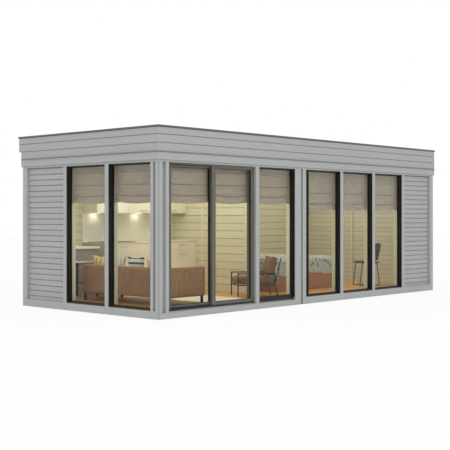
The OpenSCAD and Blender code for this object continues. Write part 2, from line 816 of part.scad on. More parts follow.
// The sofa stands with its back to the left windows. Its own frame starts at its near corner.
module at_sofa(z) {
    on_front() translate([sofa_x, sofa_y, z]) children();
}
module sofa_frame() color(tan) {
    upper = floor_z + sofa_h - sofa_seat_z - soft_gap;
    at_sofa(floor_z + sofa_foot_h) pad(sofa_d, sofa_l, sofa_seat_t, sofa_r);
    for (y = [0, sofa_l - sofa_arm_t])
        at_sofa(pad_z) translate([0, y, 0]) pad(sofa_d, sofa_arm_t, upper, sofa_r);
    at_sofa(pad_z) translate([0, sofa_arm_t + soft_gap, 0])
        pad(sofa_back_t, sofa_l - 2 * (sofa_arm_t + soft_gap), upper, sofa_r);
}
module sofa_feet() color(black)
    for (x = [2, sofa_d / sofa_foot_r - 2], y = [2, sofa_l / sofa_foot_r - 2])
        at_sofa(floor_z) translate([x * sofa_foot_r, y * sofa_foot_r, 0])
            cylinder(h = sofa_foot_h, r = sofa_foot_r);
module seat_cushions() color(tan) {
    bay = sofa_l - 2 * sofa_arm_t;
    pad_l = bay / 2 - 1.5 * soft_gap;
    for (i = [0, 1])
        at_sofa(pad_z) translate([sofa_back_t + soft_gap, sofa_arm_t + soft_gap + i * (pad_l + soft_gap), 0])
            pad(sofa_d - sofa_back_t - soft_gap, pad_l, seat_pad_t, sofa_r);
}
// As many scatter cushions as fit stand against the back, the last one at the far arm.
module scatter_cushions() color(cream) {
    last = sofa_l - sofa_arm_t - soft_gap - scatter_s;
    first = sofa_arm_t + scatter_gap;
    spaces = min(scatter_n - 1, floor((last - first) / (scatter_s + soft_gap)));
    pitch = (last - first) / max(1, spaces);
    for (i = [0 : spaces])
        at_sofa(pad_z + seat_pad_t + soft_gap)
            translate([sofa_back_t + soft_gap, last - i * pitch, 0])
                bar([0, scatter_t], [0, scatter_s], [0, scatter_s]);
}

module rug() color(cream) on_front()
    translate([rug_x, sofa_y + rug_gap, 0])
        bar([0, rug_w], [0, rug_l], [floor_z, floor_z + rug_t]);

// The kitchen stands along the back wall, up to the partition.
module kitchen_units() color(cream) on_front() {
    y0 = room_back - unit_d;
    bar([unit_x, partition_s], [y0, room_back], [floor_z + toe_h, floor_z + unit_h]);
    bar([unit_x, partition_s], [y0 + toe_d, room_back], [floor_z, floor_z + toe_h + eps]);
}
module worktop() color(cream) on_front()
    bar([unit_x - worktop_over, partition_s], [room_back - unit_d - worktop_over, room_back],
        [floor_z + unit_h, floor_z + unit_h + worktop_t]);
module wall_cupboards() color(cream) on_front() {
    top = ceiling_z - cupboard_drop;
    bar([unit_x, partition_s], [room_back - cupboard_d, room_back], [top - cupboard_h, top]);
}

// The bar table stands in the back left corner.
module at_bar() {
    on_front() translate([wall_t + butt, room_back - bar_w - butt, floor_z]) children();
}
module bar_table() color(cream) at_bar() {
    shelf = bar_h - bar_t - bar_apron_h;
    bar([0, bar_l], [0, bar_w], [bar_h - bar_t, bar_h]);
    bar([0, bar_l], [bar_leg, bar_leg + bar_apron_t], [shelf, bar_h - bar_t + eps]);
    bar([0, bar_l], [bar_leg, bar_w], [shelf - bar_t, shelf + eps]);
}
module bar_table_legs() color(black) at_bar()
    for (x = [0, bar_l - bar_leg], y = [bar_leg, bar_w - bar_leg])
        translate([x, y, 0]) bar([0, bar_leg], [0, bar_leg], [0, bar_h - 2 * bar_t - bar_apron_h]);

// The armchair's own frame: it faces +X, with its middle on the floor.
module at_easy() {
    on_front() translate([easy_x, easy_y, floor_z]) rotate([0, 0, easy_turn]) children();
}
// One side of the armchair, drawn along it and up: legs, arm, seat rail and a raked back post
module armchair_side() {
    x = easy_d / 2;
    half = easy_bar / 2;
    post = easy_post / 2;
    difference() {
        translate([-x - half, easy_rail_z - half])
            square([easy_d + easy_bar, easy_arm_z - easy_rail_z + easy_bar]);
        translate([half - x, easy_rail_z + half])
            square([easy_d - easy_bar, easy_arm_z - easy_rail_z - easy_bar]);
    }
    translate([x - half, 0]) square([easy_bar, easy_rail_z]);
    translate([-x, 0]) polygon([
        [-half - easy_splay, 0], [half - easy_splay, 0], [half, easy_rail_z], [-half, easy_rail_z]
    ]);
    translate([-x, 0]) polygon([
        [-post, easy_rail_z], [post, easy_rail_z],
        [post - easy_run, easy_back_z], [-post - easy_run, easy_back_z]
    ]);
}
module armchair_frame() color(black) at_easy() {
    y = easy_w / 2 + easy_bar / 2;
    post = easy_post / 2;
    for (side = [-y, y])
        translate([0, side + easy_bar / 2, 0]) rotate([90, 0, 0]) linear_extrude(easy_bar) armchair_side();
    for (end = [-easy_d / 2, easy_d / 2])
        bar([end - post, end + post], [-y, y], [easy_rail_z - post, easy_rail_z + post]);
}
module armchair_cushions() color(tan) at_easy() {
    seat_z = easy_rail_z + easy_post / 2 + soft_gap;
    back_h = (easy_back_z - seat_z - easy_pad_t) / cos(easy_lean);
    round_r = easy_pad_t / 4;
    translate([-easy_d / 2, -easy_w / 2 + soft_gap, seat_z])
        pad(easy_d, easy_w - 2 * soft_gap, easy_pad_t, round_r);
    translate([-easy_d / 2, -easy_w / 2 + soft_gap, seat_z + easy_pad_t + soft_gap])
        rotate([0, -easy_lean, 0])
            pad(easy_pad_t, easy_w - 2 * soft_gap, back_h, round_r);
}

// The bed stands with its head to the back wall.
module at_bed(z) {
    on_front() translate([bed_s, room_back - bed_l, z]) children();
}
module bed_base() color([0.42, 0.25, 0.15]) at_bed(floor_z)
    bar([bed_over, bed_w - bed_over], [bed_over, bed_l], [0, bed_base_h]);
module bed_covers() color(cream) at_bed(floor_z + bed_base_h)
    pad(bed_w, bed_l, bed_pad_h, bed_r);

// The chair's own frame: it faces +X, with its middle on the floor.
module at_chair() {
    on_front() translate([pod_l - chair_x, chair_y, floor_z]) rotate([0, 0, chair_turn]) children();
}
module chair_shell() color(black) at_chair() {
    translate([-chair_d / 2, -chair_w / 2, chair_z - chair_t]) pad(chair_d, chair_w, chair_t, chair_w / 6);
    translate([chair_t - chair_d / 2, -chair_w / 3, chair_z + soft_gap])
        rotate([0, -chair_lean, 0])
            bar([0, chair_t], [0, chair_w * 2 / 3], [0, (chair_back_z - chair_z) / cos(chair_lean)]);
}
// One side of the chair's frame, drawn along it and up: a ring that splays towards the floor
module chair_side() {
    top = chair_z - chair_t;
    splay = atan(chair_splay / top);
    face = chair_bar / cos(splay);
    function reach(z) = chair_d / 2 - z * tan(splay);
    module outline(low, high, inset) {
        polygon([
            [inset - reach(low), low], [reach(low) - inset, low],
            [reach(high) - inset, high], [inset - reach(high), high]
        ]);
    }
    difference() {
        outline(0, top, 0);
        outline(chair_bar, top - chair_bar, face);
    }
}
module chair_legs() color(black) at_chair()
    for (side = [-chair_w / 3, chair_w / 3])
        translate([0, side + chair_bar / 2, 0]) rotate([90, 0, 0]) linear_extrude(chair_bar) chair_side();

floor_bearers();
floor_deck();
floorboards();
plinth_boards();
corner_posts();
module_posts();
front_wall();
left_wall();
back_wall();
right_wall();
front_cladding();
left_cladding();
back_cladding();
right_cladding();
wall_linings();
partition();
long_headers();
end_headers();
ceiling();
roof_deck();
roof_membrane();
roof_cap();
upper_fascia();
lower_fascia();
drip_strips();
eave_soffit();
mullions();
window_trims();
window_sills();
window_stiles();
window_rails();
window_glass();
door_jambs();
door_head();
fixed_leaf_stiles();
fixed_leaf_rails();
fixed_leaf_glass();
sliding_leaf_stiles();
sliding_leaf_rails();
sliding_leaf_glass();
blinds();
sofa_frame();
sofa_feet();
seat_cushions();
scatter_cushions();
rug();
kitchen_units();
worktop();
wall_cupboards();
bar_table();
bar_table_legs();
armchair_frame();
armchair_cushions();
bed_base();
bed_covers();
chair_shell();
chair_legs();
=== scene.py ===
import math
import random
from types import SimpleNamespace

import bmesh
import bpy
from mathutils import Matrix, Vector, noise


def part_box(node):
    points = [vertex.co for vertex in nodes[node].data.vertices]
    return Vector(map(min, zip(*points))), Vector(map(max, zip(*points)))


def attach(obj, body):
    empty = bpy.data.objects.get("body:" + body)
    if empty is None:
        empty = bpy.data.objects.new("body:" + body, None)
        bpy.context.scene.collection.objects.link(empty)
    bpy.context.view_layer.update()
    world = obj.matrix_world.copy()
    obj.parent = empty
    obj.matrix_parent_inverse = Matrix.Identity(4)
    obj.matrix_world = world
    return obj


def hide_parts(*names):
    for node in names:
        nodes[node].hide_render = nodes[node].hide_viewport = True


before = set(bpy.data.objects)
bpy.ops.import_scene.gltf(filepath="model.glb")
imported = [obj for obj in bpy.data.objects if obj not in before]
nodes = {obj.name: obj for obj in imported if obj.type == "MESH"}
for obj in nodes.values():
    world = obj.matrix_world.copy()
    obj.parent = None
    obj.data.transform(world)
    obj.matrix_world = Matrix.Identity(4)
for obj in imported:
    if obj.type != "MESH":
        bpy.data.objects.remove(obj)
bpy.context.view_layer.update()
scene = bpy.context.scene
scene.view_settings.view_transform = "Standard"
print("frame loaded,", len(nodes), "nodes")

cameraView = {
    "place": (-12.358, -10.854, 1.389),  # eye height of the photo, level
    "heading": (0.736, 0.677, 0.0),
    "lens": 77.58,
    "shiftY": -0.022,  # the horizon stands a little above the middle
}


def setCamera(view):
    data = bpy.data.cameras.new("photoCamera")
    data.lens = view["lens"]
    data.sensor_width = 36
    data.shift_y = view["shiftY"]
    data.clip_end = 200
    obj = bpy.data.objects.new("photoCamera", data)
    obj.location = view["place"]
    obj.rotation_euler = Vector(view["heading"]).to_track_quat("-Z", "Y").to_euler()
    scene.collection.objects.link(obj)
    scene.camera = obj


setCamera(cameraView)
print("camera set")


# node helpers
def put(tree, kind, inputs=None, **props):
    node = tree.nodes.new(kind)
    for name, value in props.items():
        setattr(node, name, value)
    for name, value in (inputs or {}).items():
        socket = node.inputs[name]
        if isinstance(value, bpy.types.NodeSocket):
            tree.links.new(value, socket)
        else:
            socket.default_value = value
    return node


def calc(tree, operation, first, second=0.0):
    return put(tree, "ShaderNodeMath", {0: first, 1: second}, operation=operation).outputs[0]


def remap(tree, value, low, high, toLow, toHigh):
    return put(tree, "ShaderNodeMapRange", {0: value, 1: low, 2: high, 3: toLow, 4: toHigh}).outputs[0]


def spread(tree, value, low, high):
    return remap(tree, value, 0.0, 1.0, low, high)


def mixColor(tree, factor, first, second):
    return put(tree, "ShaderNodeMix", {0: factor, 6: first, 7: second}, data_type="RGBA").outputs[2]


def mixValue(tree, factor, first, second):
    return put(tree, "ShaderNodeMix", {0: factor, 2: first, 3: second}, data_type="FLOAT").outputs[0]


def vectorMath(tree, operation, first, second):
    return put(tree, "ShaderNodeVectorMath", {0: first, 1: second}, operation=operation).outputs[0]


def cloudy(tree, vector, scale, detail, **more):
    given = {"Vector": vector, "Scale": scale, "Detail": detail}
    given.update({name.capitalize(): value for name, value in more.items()})
    return put(tree, "ShaderNodeTexNoise", given).outputs[0]


def newGroup(name, inputs, outputs):
    tree = bpy.data.node_groups.new(name, "ShaderNodeTree")
    for label, kind, value in inputs:
        tree.interface.new_socket(label, in_out="INPUT", socket_type=kind).default_value = value
    for label, kind in outputs:
        tree.interface.new_socket(label, in_out="OUTPUT", socket_type=kind)
    return tree, put(tree, "NodeGroupInput").outputs, put(tree, "NodeGroupOutput").inputs


def srgb(red, green, blue):
    parts = [c / 255 for c in (red, green, blue)]
    return tuple(c / 12.92 if c <= 0.04045 else ((c + 0.055) / 1.055) ** 2.4 for c in parts) + (1.0,)


def shade(color, amount):
    return tuple(min(1.0, c * amount) for c in color[:3]) + (1.0,)


# shared effects
def makeGrain():
    tree, given, out = newGroup(
        "boardGrain",
        [("Stretch", "NodeSocketVector", (1.0, 1.0, 1.0))],
        [("Grain", "NodeSocketFloat"), ("Tone", "NodeSocketFloat"), ("Seam", "NodeSocketFloat")])
    coords = put(tree, "ShaderNodeTexCoord").outputs["Object"]
    tone = put(tree, "ShaderNodeAttribute", attribute_name="tone").outputs["Fac"]
    drawn = vectorMath(tree, "MULTIPLY", coords, given["Stretch"])
    # every board gets its own piece of the grain
    moved = vectorMath(tree, "ADD", drawn, calc(tree, "MULTIPLY", tone, 53.0))
    fine = cloudy(tree, moved, 1.0, 6.0, roughness=0.62, distortion=0.6)
    broad = cloudy(tree, coords, 1.7, 2.0, roughness=0.5)
    tree.links.new(remap(tree, fine, 0.3, 0.7, 0.0, 1.0), out["Grain"])
    tree.links.new(calc(tree, "ADD", calc(tree, "MULTIPLY", tone, 0.7), calc(tree, "MULTIPLY", broad, 0.3)),
                   out["Tone"])
    # painted shade in the joints and hollows of the boards, where real shade falls
    paintedJointShade = put(tree, "ShaderNodeAttribute", attribute_name="paintedJointShade").outputs["Fac"]
    tree.links.new(calc(tree, "MULTIPLY", paintedJointShade, remap(tree, fine, 0.3, 0.7, 0.75, 1.0)), out["Seam"])
    return tree


def makeWeave():
    tree, given, out = newGroup(
        "clothWeave",
        # threads to a metre, and how the slubs are drawn out along each axis
        [("Threads", "NodeSocketFloat", 400.0), ("Drawn", "NodeSocketVector", (1.0, 1.0, 1.0))],
        [("Thread", "NodeSocketFloat"), ("Slub", "NodeSocketFloat")])
    coords = put(tree, "ShaderNodeTexCoord").outputs["Object"]
    place = put(tree, "ShaderNodeSeparateXYZ", {0: coords}).outputs
    facing = put(tree, "ShaderNodeNewGeometry").outputs["Normal"]
    normal = put(tree, "ShaderNodeSeparateXYZ", {0: facing}).outputs
    level = calc(tree, "GREATER_THAN", calc(tree, "ABSOLUTE", normal[2]), 0.6)
    across = calc(tree, "ADD", place[0], calc(tree, "MULTIPLY", place[1], calc(tree, "SUBTRACT", 1.0, level)))
    along = mixValue(tree, level, place[2], place[1])
    turns = calc(tree, "MULTIPLY", given["Threads"], math.pi)
    warp = calc(tree, "SINE", calc(tree, "MULTIPLY", across, turns))
    weft = calc(tree, "SINE", calc(tree, "MULTIPLY", along, turns))
    over = calc(tree, "GREATER_THAN", calc(tree, "MULTIPLY", warp, weft), 0.0)
    height = mixValue(tree, over, calc(tree, "ABSOLUTE", warp), calc(tree, "ABSOLUTE", weft))
    slub = cloudy(tree, vectorMath(tree, "MULTIPLY", coords, given["Drawn"]), 38.0, 4.0, roughness=0.65)
    tree.links.new(height, out["Thread"])
    tree.links.new(remap(tree, slub, 0.3, 0.7, 0.0, 1.0), out["Slub"])
    return tree


def makeScuffs():
    tree, given, out = newGroup(
        "surfaceScuffs",
        [("Scale", "NodeSocketFloat", 30.0)],
        [("Fine", "NodeSocketFloat"), ("Broad", "NodeSocketFloat")])
    coords = put(tree, "ShaderNodeTexCoord").outputs["Object"]
    fine = cloudy(tree, coords, given["Scale"], 6.0, roughness=0.7)
    broad = cloudy(tree, coords, 2.3, 3.0)
    tree.links.new(remap(tree, fine, 0.3, 0.7, 0.0, 1.0), out["Fine"])
    tree.links.new(remap(tree, broad, 0.3, 0.7, 0.0, 1.0), out["Broad"])
    return tree


grainGroup, weaveGroup, scuffGroup = makeGrain(), makeWeave(), makeScuffs()
finishes = {}


def newMaterial(name):
    finishes[name] = bpy.data.materials.new(name)
    finishes[name].use_nodes = True
    tree = finishes[name].node_tree
    return tree, tree.nodes["Principled BSDF"]


def effect(tree, group, **given):
    return put(tree, "ShaderNodeGroup", {name.capitalize(): value for name, value in given.items()},
               node_tree=group).outputs


def bump(tree, shader, height, strength, distance):
    node = put(tree, "ShaderNodeBump", {"Strength": strength, "Distance": distance, "Height": height})
    tree.links.new(node.outputs["Normal"], shader.inputs["Normal"])


def timber(name, dark, light, stretch, rough=(0.45, 0.62), contrast=0.5, relief=0.0006, paintedJointShade=0.45):
    tree, shader = newMaterial(name)
    grain = effect(tree, grainGroup, stretch=stretch)
    scuff = effect(tree, scuffGroup, scale=55.0)
    lines = mixColor(tree, spread(tree, grain["Grain"], 0.5 - contrast / 2, 0.5 + contrast / 2), dark, light)
    toned = mixColor(tree, spread(tree, grain["Tone"], 0.0, 0.55), lines, shade(dark, 0.93))
    # the joint faces listed on each board are darkened: painted shade
    shadedJoints = mixColor(tree, grain["Seam"], toned, shade(dark, paintedJointShade))
    tree.links.new(shadedJoints, shader.inputs["Base Color"])
    tree.links.new(spread(tree, scuff["Fine"], *rough), shader.inputs["Roughness"])
    bump(tree, shader, grain["Grain"], 0.35, relief)


def paintFilm(name, color, rough, speckle=180.0, relief=0.0003, metallic=0.0, gloss=0.5):
    tree, shader = newMaterial(name)
    shader.inputs["Metallic"].default_value = metallic
    shader.inputs["Specular IOR Level"].default_value = gloss
    scuff = effect(tree, scuffGroup, scale=speckle)
    worn = mixColor(tree, scuff["Broad"], shade(color, 0.94), shade(color, 1.05))
    fine = mixColor(tree, spread(tree, scuff["Fine"], 0.0, 0.25), worn, shade(color, 0.8))
    tree.links.new(fine, shader.inputs["Base Color"])
    tree.links.new(spread(tree, scuff["Broad"], *rough), shader.inputs["Roughness"])
    bump(tree, shader, scuff["Fine"], 0.25, relief)


def fabric(name, dark, light, threads, sheen=0.25, relief=0.0006, slub=0.35, drawn=(1.0, 1.0, 1.0)):
    tree, shader = newMaterial(name)
    weave = effect(tree, weaveGroup, threads=threads, drawn=drawn)
    yarn = mixColor(tree, weave["Thread"], dark, light)
    color = mixColor(tree, spread(tree, weave["Slub"], 0.0, slub), yarn, shade(dark, 0.9))
    tree.links.new(color, shader.inputs["Base Color"])
    shader.inputs["Roughness"].default_value = 0.9
    shader.inputs["Sheen Weight"].default_value = sheen
    shader.inputs["Sheen Roughness"].default_value = 0.5
    bump(tree, shader, weave["Thread"], 0.5, relief)
    return tree, shader, color


# a woven pattern laid over the plain cloth: stripes or scattered leaves
def patterned(name, ground, figure, threads, kind, size, relief=0.0006, axis=2):
    tree, shader, plain = fabric(name, shade(ground, 0.9), ground, threads, sheen=0.1, relief=relief)
    coords = put(tree, "ShaderNodeTexCoord").outputs["Object"]
    if kind == "stripes":
        place = put(tree, "ShaderNodeSeparateXYZ", {0: coords}).outputs
        wave = calc(tree, "SINE", calc(tree, "MULTIPLY", place[axis], 2 * math.pi / size))
        mask = calc(tree, "GREATER_THAN", wave, 0.35)
    else:
        bent = put(tree, "ShaderNodeTexNoise",
                   {"Vector": coords, "Scale": 9.0, "Detail": 2.0}).outputs["Color"]
        shift = put(tree, "ShaderNodeVectorMath", {0: bent, 3: 0.09}, operation="SCALE").outputs[0]
        cells = put(tree, "ShaderNodeTexVoronoi",
                    {"Vector": vectorMath(tree, "ADD", coords, shift), "Scale": 1 / size, "Randomness": 0.9},
                    feature="F1").outputs["Distance"]
        mask = remap(tree, cells, 0.30, 0.40, 1.0, 0.0)
    tree.links.new(mixColor(tree, mask, plain, figure), shader.inputs["Base Color"])


def glazing(name, tint):
    tree, shader = newMaterial(name)
    scuff = effect(tree, scuffGroup, scale=4.0)
    tree.links.new(mixColor(tree, scuff["Broad"], shade(tint, 0.985), tint), shader.inputs["Base Color"])
    tree.links.new(spread(tree, scuff["Fine"], 0.0, 0.015), shader.inputs["Roughness"])
    shader.inputs["Transmission Weight"].default_value = 1.0
    shader.inputs["IOR"].default_value = 1.2
    shader.inputs["Specular Tint"].default_value = (0.12, 0.12, 0.12, 1.0)
    path = put(tree, "ShaderNodeLightPath")
    clear = put(tree, "ShaderNodeBsdfTransparent", {"Color": shade(tint, 0.98)})
    passing = calc(tree, "MAXIMUM", path.outputs["Is Shadow Ray"], path.outputs["Is Diffuse Ray"])
    mixed = put(tree, "ShaderNodeMixShader", {0: passing, 1: shader.outputs[0], 2: clear.outputs[0]})
    tree.links.new(mixed.outputs[0], tree.nodes["Material Output"].inputs["Surface"])


def glowing(name, color, strength):
    tree, shader = newMaterial(name)
    scuff = effect(tree, scuffGroup)
    tree.links.new(mixColor(tree, scuff["Fine"], shade(color, 0.96), color), shader.inputs["Base Color"])
    shader.inputs["Emission Color"].default_value = color
    shader.inputs["Emission Strength"].default_value = strength


grainAlong = {"x": (2.2, 70.0, 70.0), "level": (2.2, 2.2, 75.0), "upright": (75.0, 75.0, 2.2)}

podGrey = srgb(175, 178, 177)
timber("greyBoards", shade(podGrey, 0.93), shade(podGrey, 1.05), grainAlong["level"], contrast=0.8,
       paintedJointShade=0.55)
timber("greyPosts", shade(podGrey, 0.93), shade(podGrey, 1.05), grainAlong["upright"], contrast=0.8)
paintFilm("capMetal", srgb(98, 99, 100), (0.35, 0.5), metallic=0.3)
paintFilm("roofFelt", srgb(78, 80, 82), (0.75, 0.9), speckle=420.0, relief=0.001)
timber("rawTimber", srgb(150, 112, 70), srgb(196, 158, 108), grainAlong["level"], contrast=0.9)
timber("pineBoards", srgb(203, 198, 166), srgb(223, 219, 193), grainAlong["level"], contrast=0.7, paintedJointShade=0.45)
timber("pineTrims", srgb(212, 204, 174), srgb(230, 223, 198), grainAlong["upright"], contrast=0.7)
timber("ceilingPaint", srgb(226, 220, 200), srgb(238, 233, 216), grainAlong["x"], contrast=0.5)
timber("floorOak", srgb(194, 138, 59), srgb(230, 177, 96), grainAlong["x"], (0.3, 0.45), contrast=0.9)
paintFilm("frameBlack", srgb(24, 24, 23), (0.35, 0.5))
paintFilm("doorBronze", srgb(98, 95, 85), (0.35, 0.5))
glazing("glass", (0.97, 0.985, 0.975, 1.0))
paintFilm("rubber", srgb(18, 18, 18), (0.6, 0.75))
fabric("blindLinen", srgb(158, 139, 123), srgb(206, 187, 169), 420.0, sheen=0.1, relief=0.0008,
       slub=0.6, drawn=(0.15, 0.15, 1.6))
fabric("sofaFabric", srgb(138, 94, 60), srgb(200, 152, 110), 300.0, sheen=0.1, relief=0.0012, slub=0.9,
       drawn=(1.5, 1.5, 0.12))
patterned("cushionGold", srgb(222, 192, 84), srgb(240, 234, 206), 420.0, "stripes", 0.09, axis=1)
patterned("cushionStripe", srgb(232, 226, 214), srgb(70, 62, 56), 420.0, "stripes", 0.075)
patterned("cushionPale", srgb(236, 230, 218), srgb(186, 176, 164), 420.0, "stripes", 0.06, axis=1)
patterned("rugWool", srgb(236, 228, 212), srgb(219, 208, 189), 110.0, "stripes", 0.16, relief=0.004, axis=1)
paintFilm("kitchenCream", srgb(238, 231, 210), (0.25, 0.4), speckle=90.0, relief=0.0001)
paintFilm("apronGrey", srgb(150, 148, 142), (0.4, 0.55))
paintFilm("worktopStone", srgb(214, 206, 184), (0.2, 0.35), speckle=260.0)
paintFilm("splashPanel", srgb(244, 240, 221), (0.15, 0.25), speckle=60.0, relief=0.0001)
paintFilm("hobGlass", srgb(14, 14, 14), (0.35, 0.5), speckle=120.0, relief=0.00005, gloss=0.1)
glowing("lampGlow", (1.0, 0.95, 0.84, 1.0), 1.5)
paintFilm("steel", srgb(190, 190, 188), (0.25, 0.4), metallic=1.0)
timber("bedTimber", srgb(146, 86, 26), srgb(192, 124, 50), grainAlong["level"], (0.35, 0.5), 0.9)
fabric("bedLinen", srgb(222, 220, 212), srgb(240, 238, 232), 520.0)
patterned("bedThrow", srgb(194, 195, 181), srgb(118, 126, 121), 420.0, "leaves", 0.075)
paintFilm("brownHide", srgb(120, 80, 48), (0.45, 0.6), speckle=240.0, relief=0.0008)
paintFilm("blackHide", srgb(20, 18, 16), (0.6, 0.75), speckle=240.0, relief=0.0003, gloss=0.15)
paintFilm("blackMetal", srgb(18, 17, 16), (0.4, 0.55), gloss=0.25)
fabric("piping", srgb(96, 66, 42), srgb(122, 88, 60), 600.0)
print("finishes made,", len(finishes))


# mesh helpers
def solidsOf(name):
    mesh = nodes[name].data
    keys = {}
    ids = [keys.setdefault(tuple(round(c, 5) for c in v.co), len(keys)) for v in mesh.vertices]
    root = list(range(len(keys)))

    def find(i):
        while root[i] != i:
            root[i] = root[root[i]]
            i = root[i]
        return i

    for poly in mesh.polygons:
        for corner in poly.vertices[1:]:
            root[find(ids[corner])] = find(ids[poly.vertices[0]])
    found = {}
    for key, i in keys.items():
        found.setdefault(find(i), SimpleNamespace(points=[], faces=[])).points.append(Vector(key))
    for poly in mesh.polygons:
        found[find(ids[poly.vertices[0]])].faces.append((poly.normal.copy(), poly.area))
    solids = list(found.values())
    for solid in solids:
        solid.low = Vector([min(p[i] for p in solid.points) for i in range(3)])
        solid.high = Vector([max(p[i] for p in solid.points) for i in range(3)])
        solid.size = solid.high - solid.low
        solid.middle = (solid.high + solid.low) / 2
    return sorted(solids, key=lambda s: [round(c, 3) for c in s.low])


# own axes of a turned solid: the widest face's normal, the next widest across it, and the third
def ownAxes(solid):
    sums = []
    for normal, area in solid.faces:
        for entry in sums:
            if abs(entry[0].dot(normal)) > 0.999:
                entry[1] += area
                break
        else:
            sums.append([normal.copy(), area])
    sums.sort(key=lambda entry: -entry[1])
    thin = sums[0][0]
    side = next(n for n, a in sums if abs(n.dot(thin)) < 0.05)
    long = thin.cross(side).normalized()
    axes = (long, side, thin)
    spans = [(min(p.dot(a) for p in solid.points), max(p.dot(a) for p in solid.points)) for a in axes]
    half = Vector([(h - l) / 2 for l, h in spans])
    middle = sum(((h + l) / 2 * a for (l, h), a in zip(spans, axes)), Vector())
    turn = Matrix([axes[0], axes[1], axes[2]]).transposed().to_4x4()
    return SimpleNamespace(place=Matrix.Translation(middle) @ turn, half=half, axes=axes, middle=middle)


def newBoards():
    bm = bmesh.new()
    bm.faces.layers.float.new("tone")
    bm.faces.layers.float.new("paintedJointShade")
    return bm


def addFaces(bm, rings, tone, seams=(), paintedJointShadeLevel=1.0):
    layer = bm.faces.layers.float["tone"]
    paintedJointShadeLayer = bm.faces.layers.float["paintedJointShade"]
    first, last = rings[0], rings[-1]
    made = [bm.faces.new(first), bm.faces.new(list(reversed(last)))]
    for a, b in zip(rings, rings[1:]):
        count = len(a)
        sides = [bm.faces.new((a[i], b[i], b[(i + 1) % count], a[(i + 1) % count])) for i in range(count)]
        # faces listed in seams carry painted shade, which the board materials darken
        for i in seams:
            sides[i][paintedJointShadeLayer] = paintedJointShadeLevel
        made += sides
    for face in made:
        face[layer] = tone
    return made


# a board with this outline (out, up), run between two ends that may be mitred
def addRun(bm, outline, place, start, end, tone, seams=(), mitre=(0.0, 0.0), paintedJointShadeLevel=1.0):
    near = [bm.verts.new(place(start + mitre[0] * out, out, up)) for out, up in outline]
    far = [bm.verts.new(place(end - mitre[1] * out, out, up)) for out, up in outline]
    addFaces(bm, [near, far], tone, seams, paintedJointShadeLevel)


def addBlock(bm, low, high, tone=0.5, ease=0.0, seams=()):
    c = ease
    ring = [(low[0] + c, low[1]), (high[0] - c, low[1]), (high[0], low[1] + c), (high[0], high[1] - c),
            (high[0] - c, high[1]), (low[0] + c, high[1]), (low[0], high[1] - c), (low[0], low[1] + c)]
    if c == 0:
        ring = [ring[0], ring[1], ring[4], ring[5]]
        rings = [[bm.verts.new((x, y, z)) for x, y in ring] for z in (low[2], high[2])]
    else:
        mid = ((low[0] + high[0]) / 2, (low[1] + high[1]) / 2)

        def drawnIn(x, y):
            return (x - math.copysign(c, x - mid[0]), y - math.copysign(c, y - mid[1]))

        levels = [(low[2], True), (low[2] + c, False), (high[2] - c, False), (high[2], True)]
        rings = [[bm.verts.new((*(drawnIn(x, y) if eased else (x, y)), z)) for x, y in ring]
                 for z, eased in levels]
    addFaces(bm, rings, tone, seams)


def finishPiece(name, bm, finish, stands=(), body="pod", smooth=False):
    bmesh.ops.recalc_face_normals(bm, faces=bm.faces)
    mesh = bpy.data.meshes.new(name)
    bm.to_mesh(mesh)
    bm.free()
    return placePiece(name, mesh, finish, stands, body, smooth)


def placePiece(name, mesh, finish, stands=(), body="pod", smooth=False):
    for poly in mesh.polygons:
        poly.use_smooth = smooth
    obj = bpy.data.objects.new(name, mesh)
    scene.collection.objects.link(obj)
    mesh.materials.clear()
    mesh.materials.append(finishes[finish])
    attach(obj, body)
    if stands:
        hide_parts(*stands)
    return obj


def thinAxis(solid):
    return 0 if solid.size[0] < solid.size[1] else 1


# which way a thin upright solid looks, away from the middle of the pod
def outward(solid):
    axis = thinAxis(solid)
    return axis, -1 if solid.middle[axis] < 0 else 1


def facePlacer(solid, axis, sign):
    plane = solid.high[axis] if sign > 0 else solid.low[axis]
    run = 1 - axis

    def place(along, out, up):
        point = [0.0, 0.0, up]
        point[axis] = plane - sign * out
        point[run] = along
        return point

    return place, solid.low[run], solid.high[run]


# cladding
cladding = {
    "courseHeight": 0.0835,
    "firstCourse": 0.078,  # what shows of the lowest board
    "scoopHeight": 0.018,  # hollow at the head of each board, under the lip of the next
    "scoopDepth": 0.012,
    "lip": 0.0015,
    "paintedJointShade": 0.55,  # how much painted shade sits in the hollow under each board's lip
    "narrowest": 0.02,  # a top board narrower than this joins the one below
    "seed": 11,
}


def claddingBoards(name, node, look):
    bm = newBoards()
    rng = random.Random(look["seed"] + len(name))
    for solid in solidsOf(node):
        axis, sign = outward(solid)
        place, start, end = facePlacer(solid, axis, sign)
        thick = solid.size[axis]
        foot = solid.low[2]
        head = foot + look["firstCourse"]
        while foot < solid.high[2] - 0.001:
            if head > solid.high[2] - look["narrowest"]:
                head = solid.high[2]
            scoop, depth, lip = look["scoopHeight"], look["scoopDepth"], look["lip"]
            outline = [(lip, foot), (0, foot + lip), (0, head - scoop), (depth * 0.25, head - scoop * 0.8),
                       (depth * 0.8, head - scoop * 0.4), (depth, head), (thick, head), (thick, foot)]
            # faces 3 and 4 are the hollow under the next board's lip and 7 the underside: painted shade on
            # them
            addRun(bm, outline, place, start, end, rng.random(), (3, 4, 7), paintedJointShadeLevel=look["paintedJointShade"])
            foot, head = head, head + look["courseHeight"]
    return finishPiece(name, bm, "greyBoards", [node])


for wallName, wallNode in (("frontBoards", "front_cladding"), ("leftBoards", "left_cladding"),
                           ("backBoards", "back_cladding"), ("rightBoards", "right_cladding")):
    claddingBoards(wallName, wallNode, cladding)
print("cladding boards made")


# fascia
fascia = {"groove": 0.006, "topShare": 0.46, "seed": 5}


def grooved(thick, foot, head, groove):
    return [(0, foot + groove), (0, head - groove), (groove, head), (thick, head), (thick, foot),
            (groove, foot)]


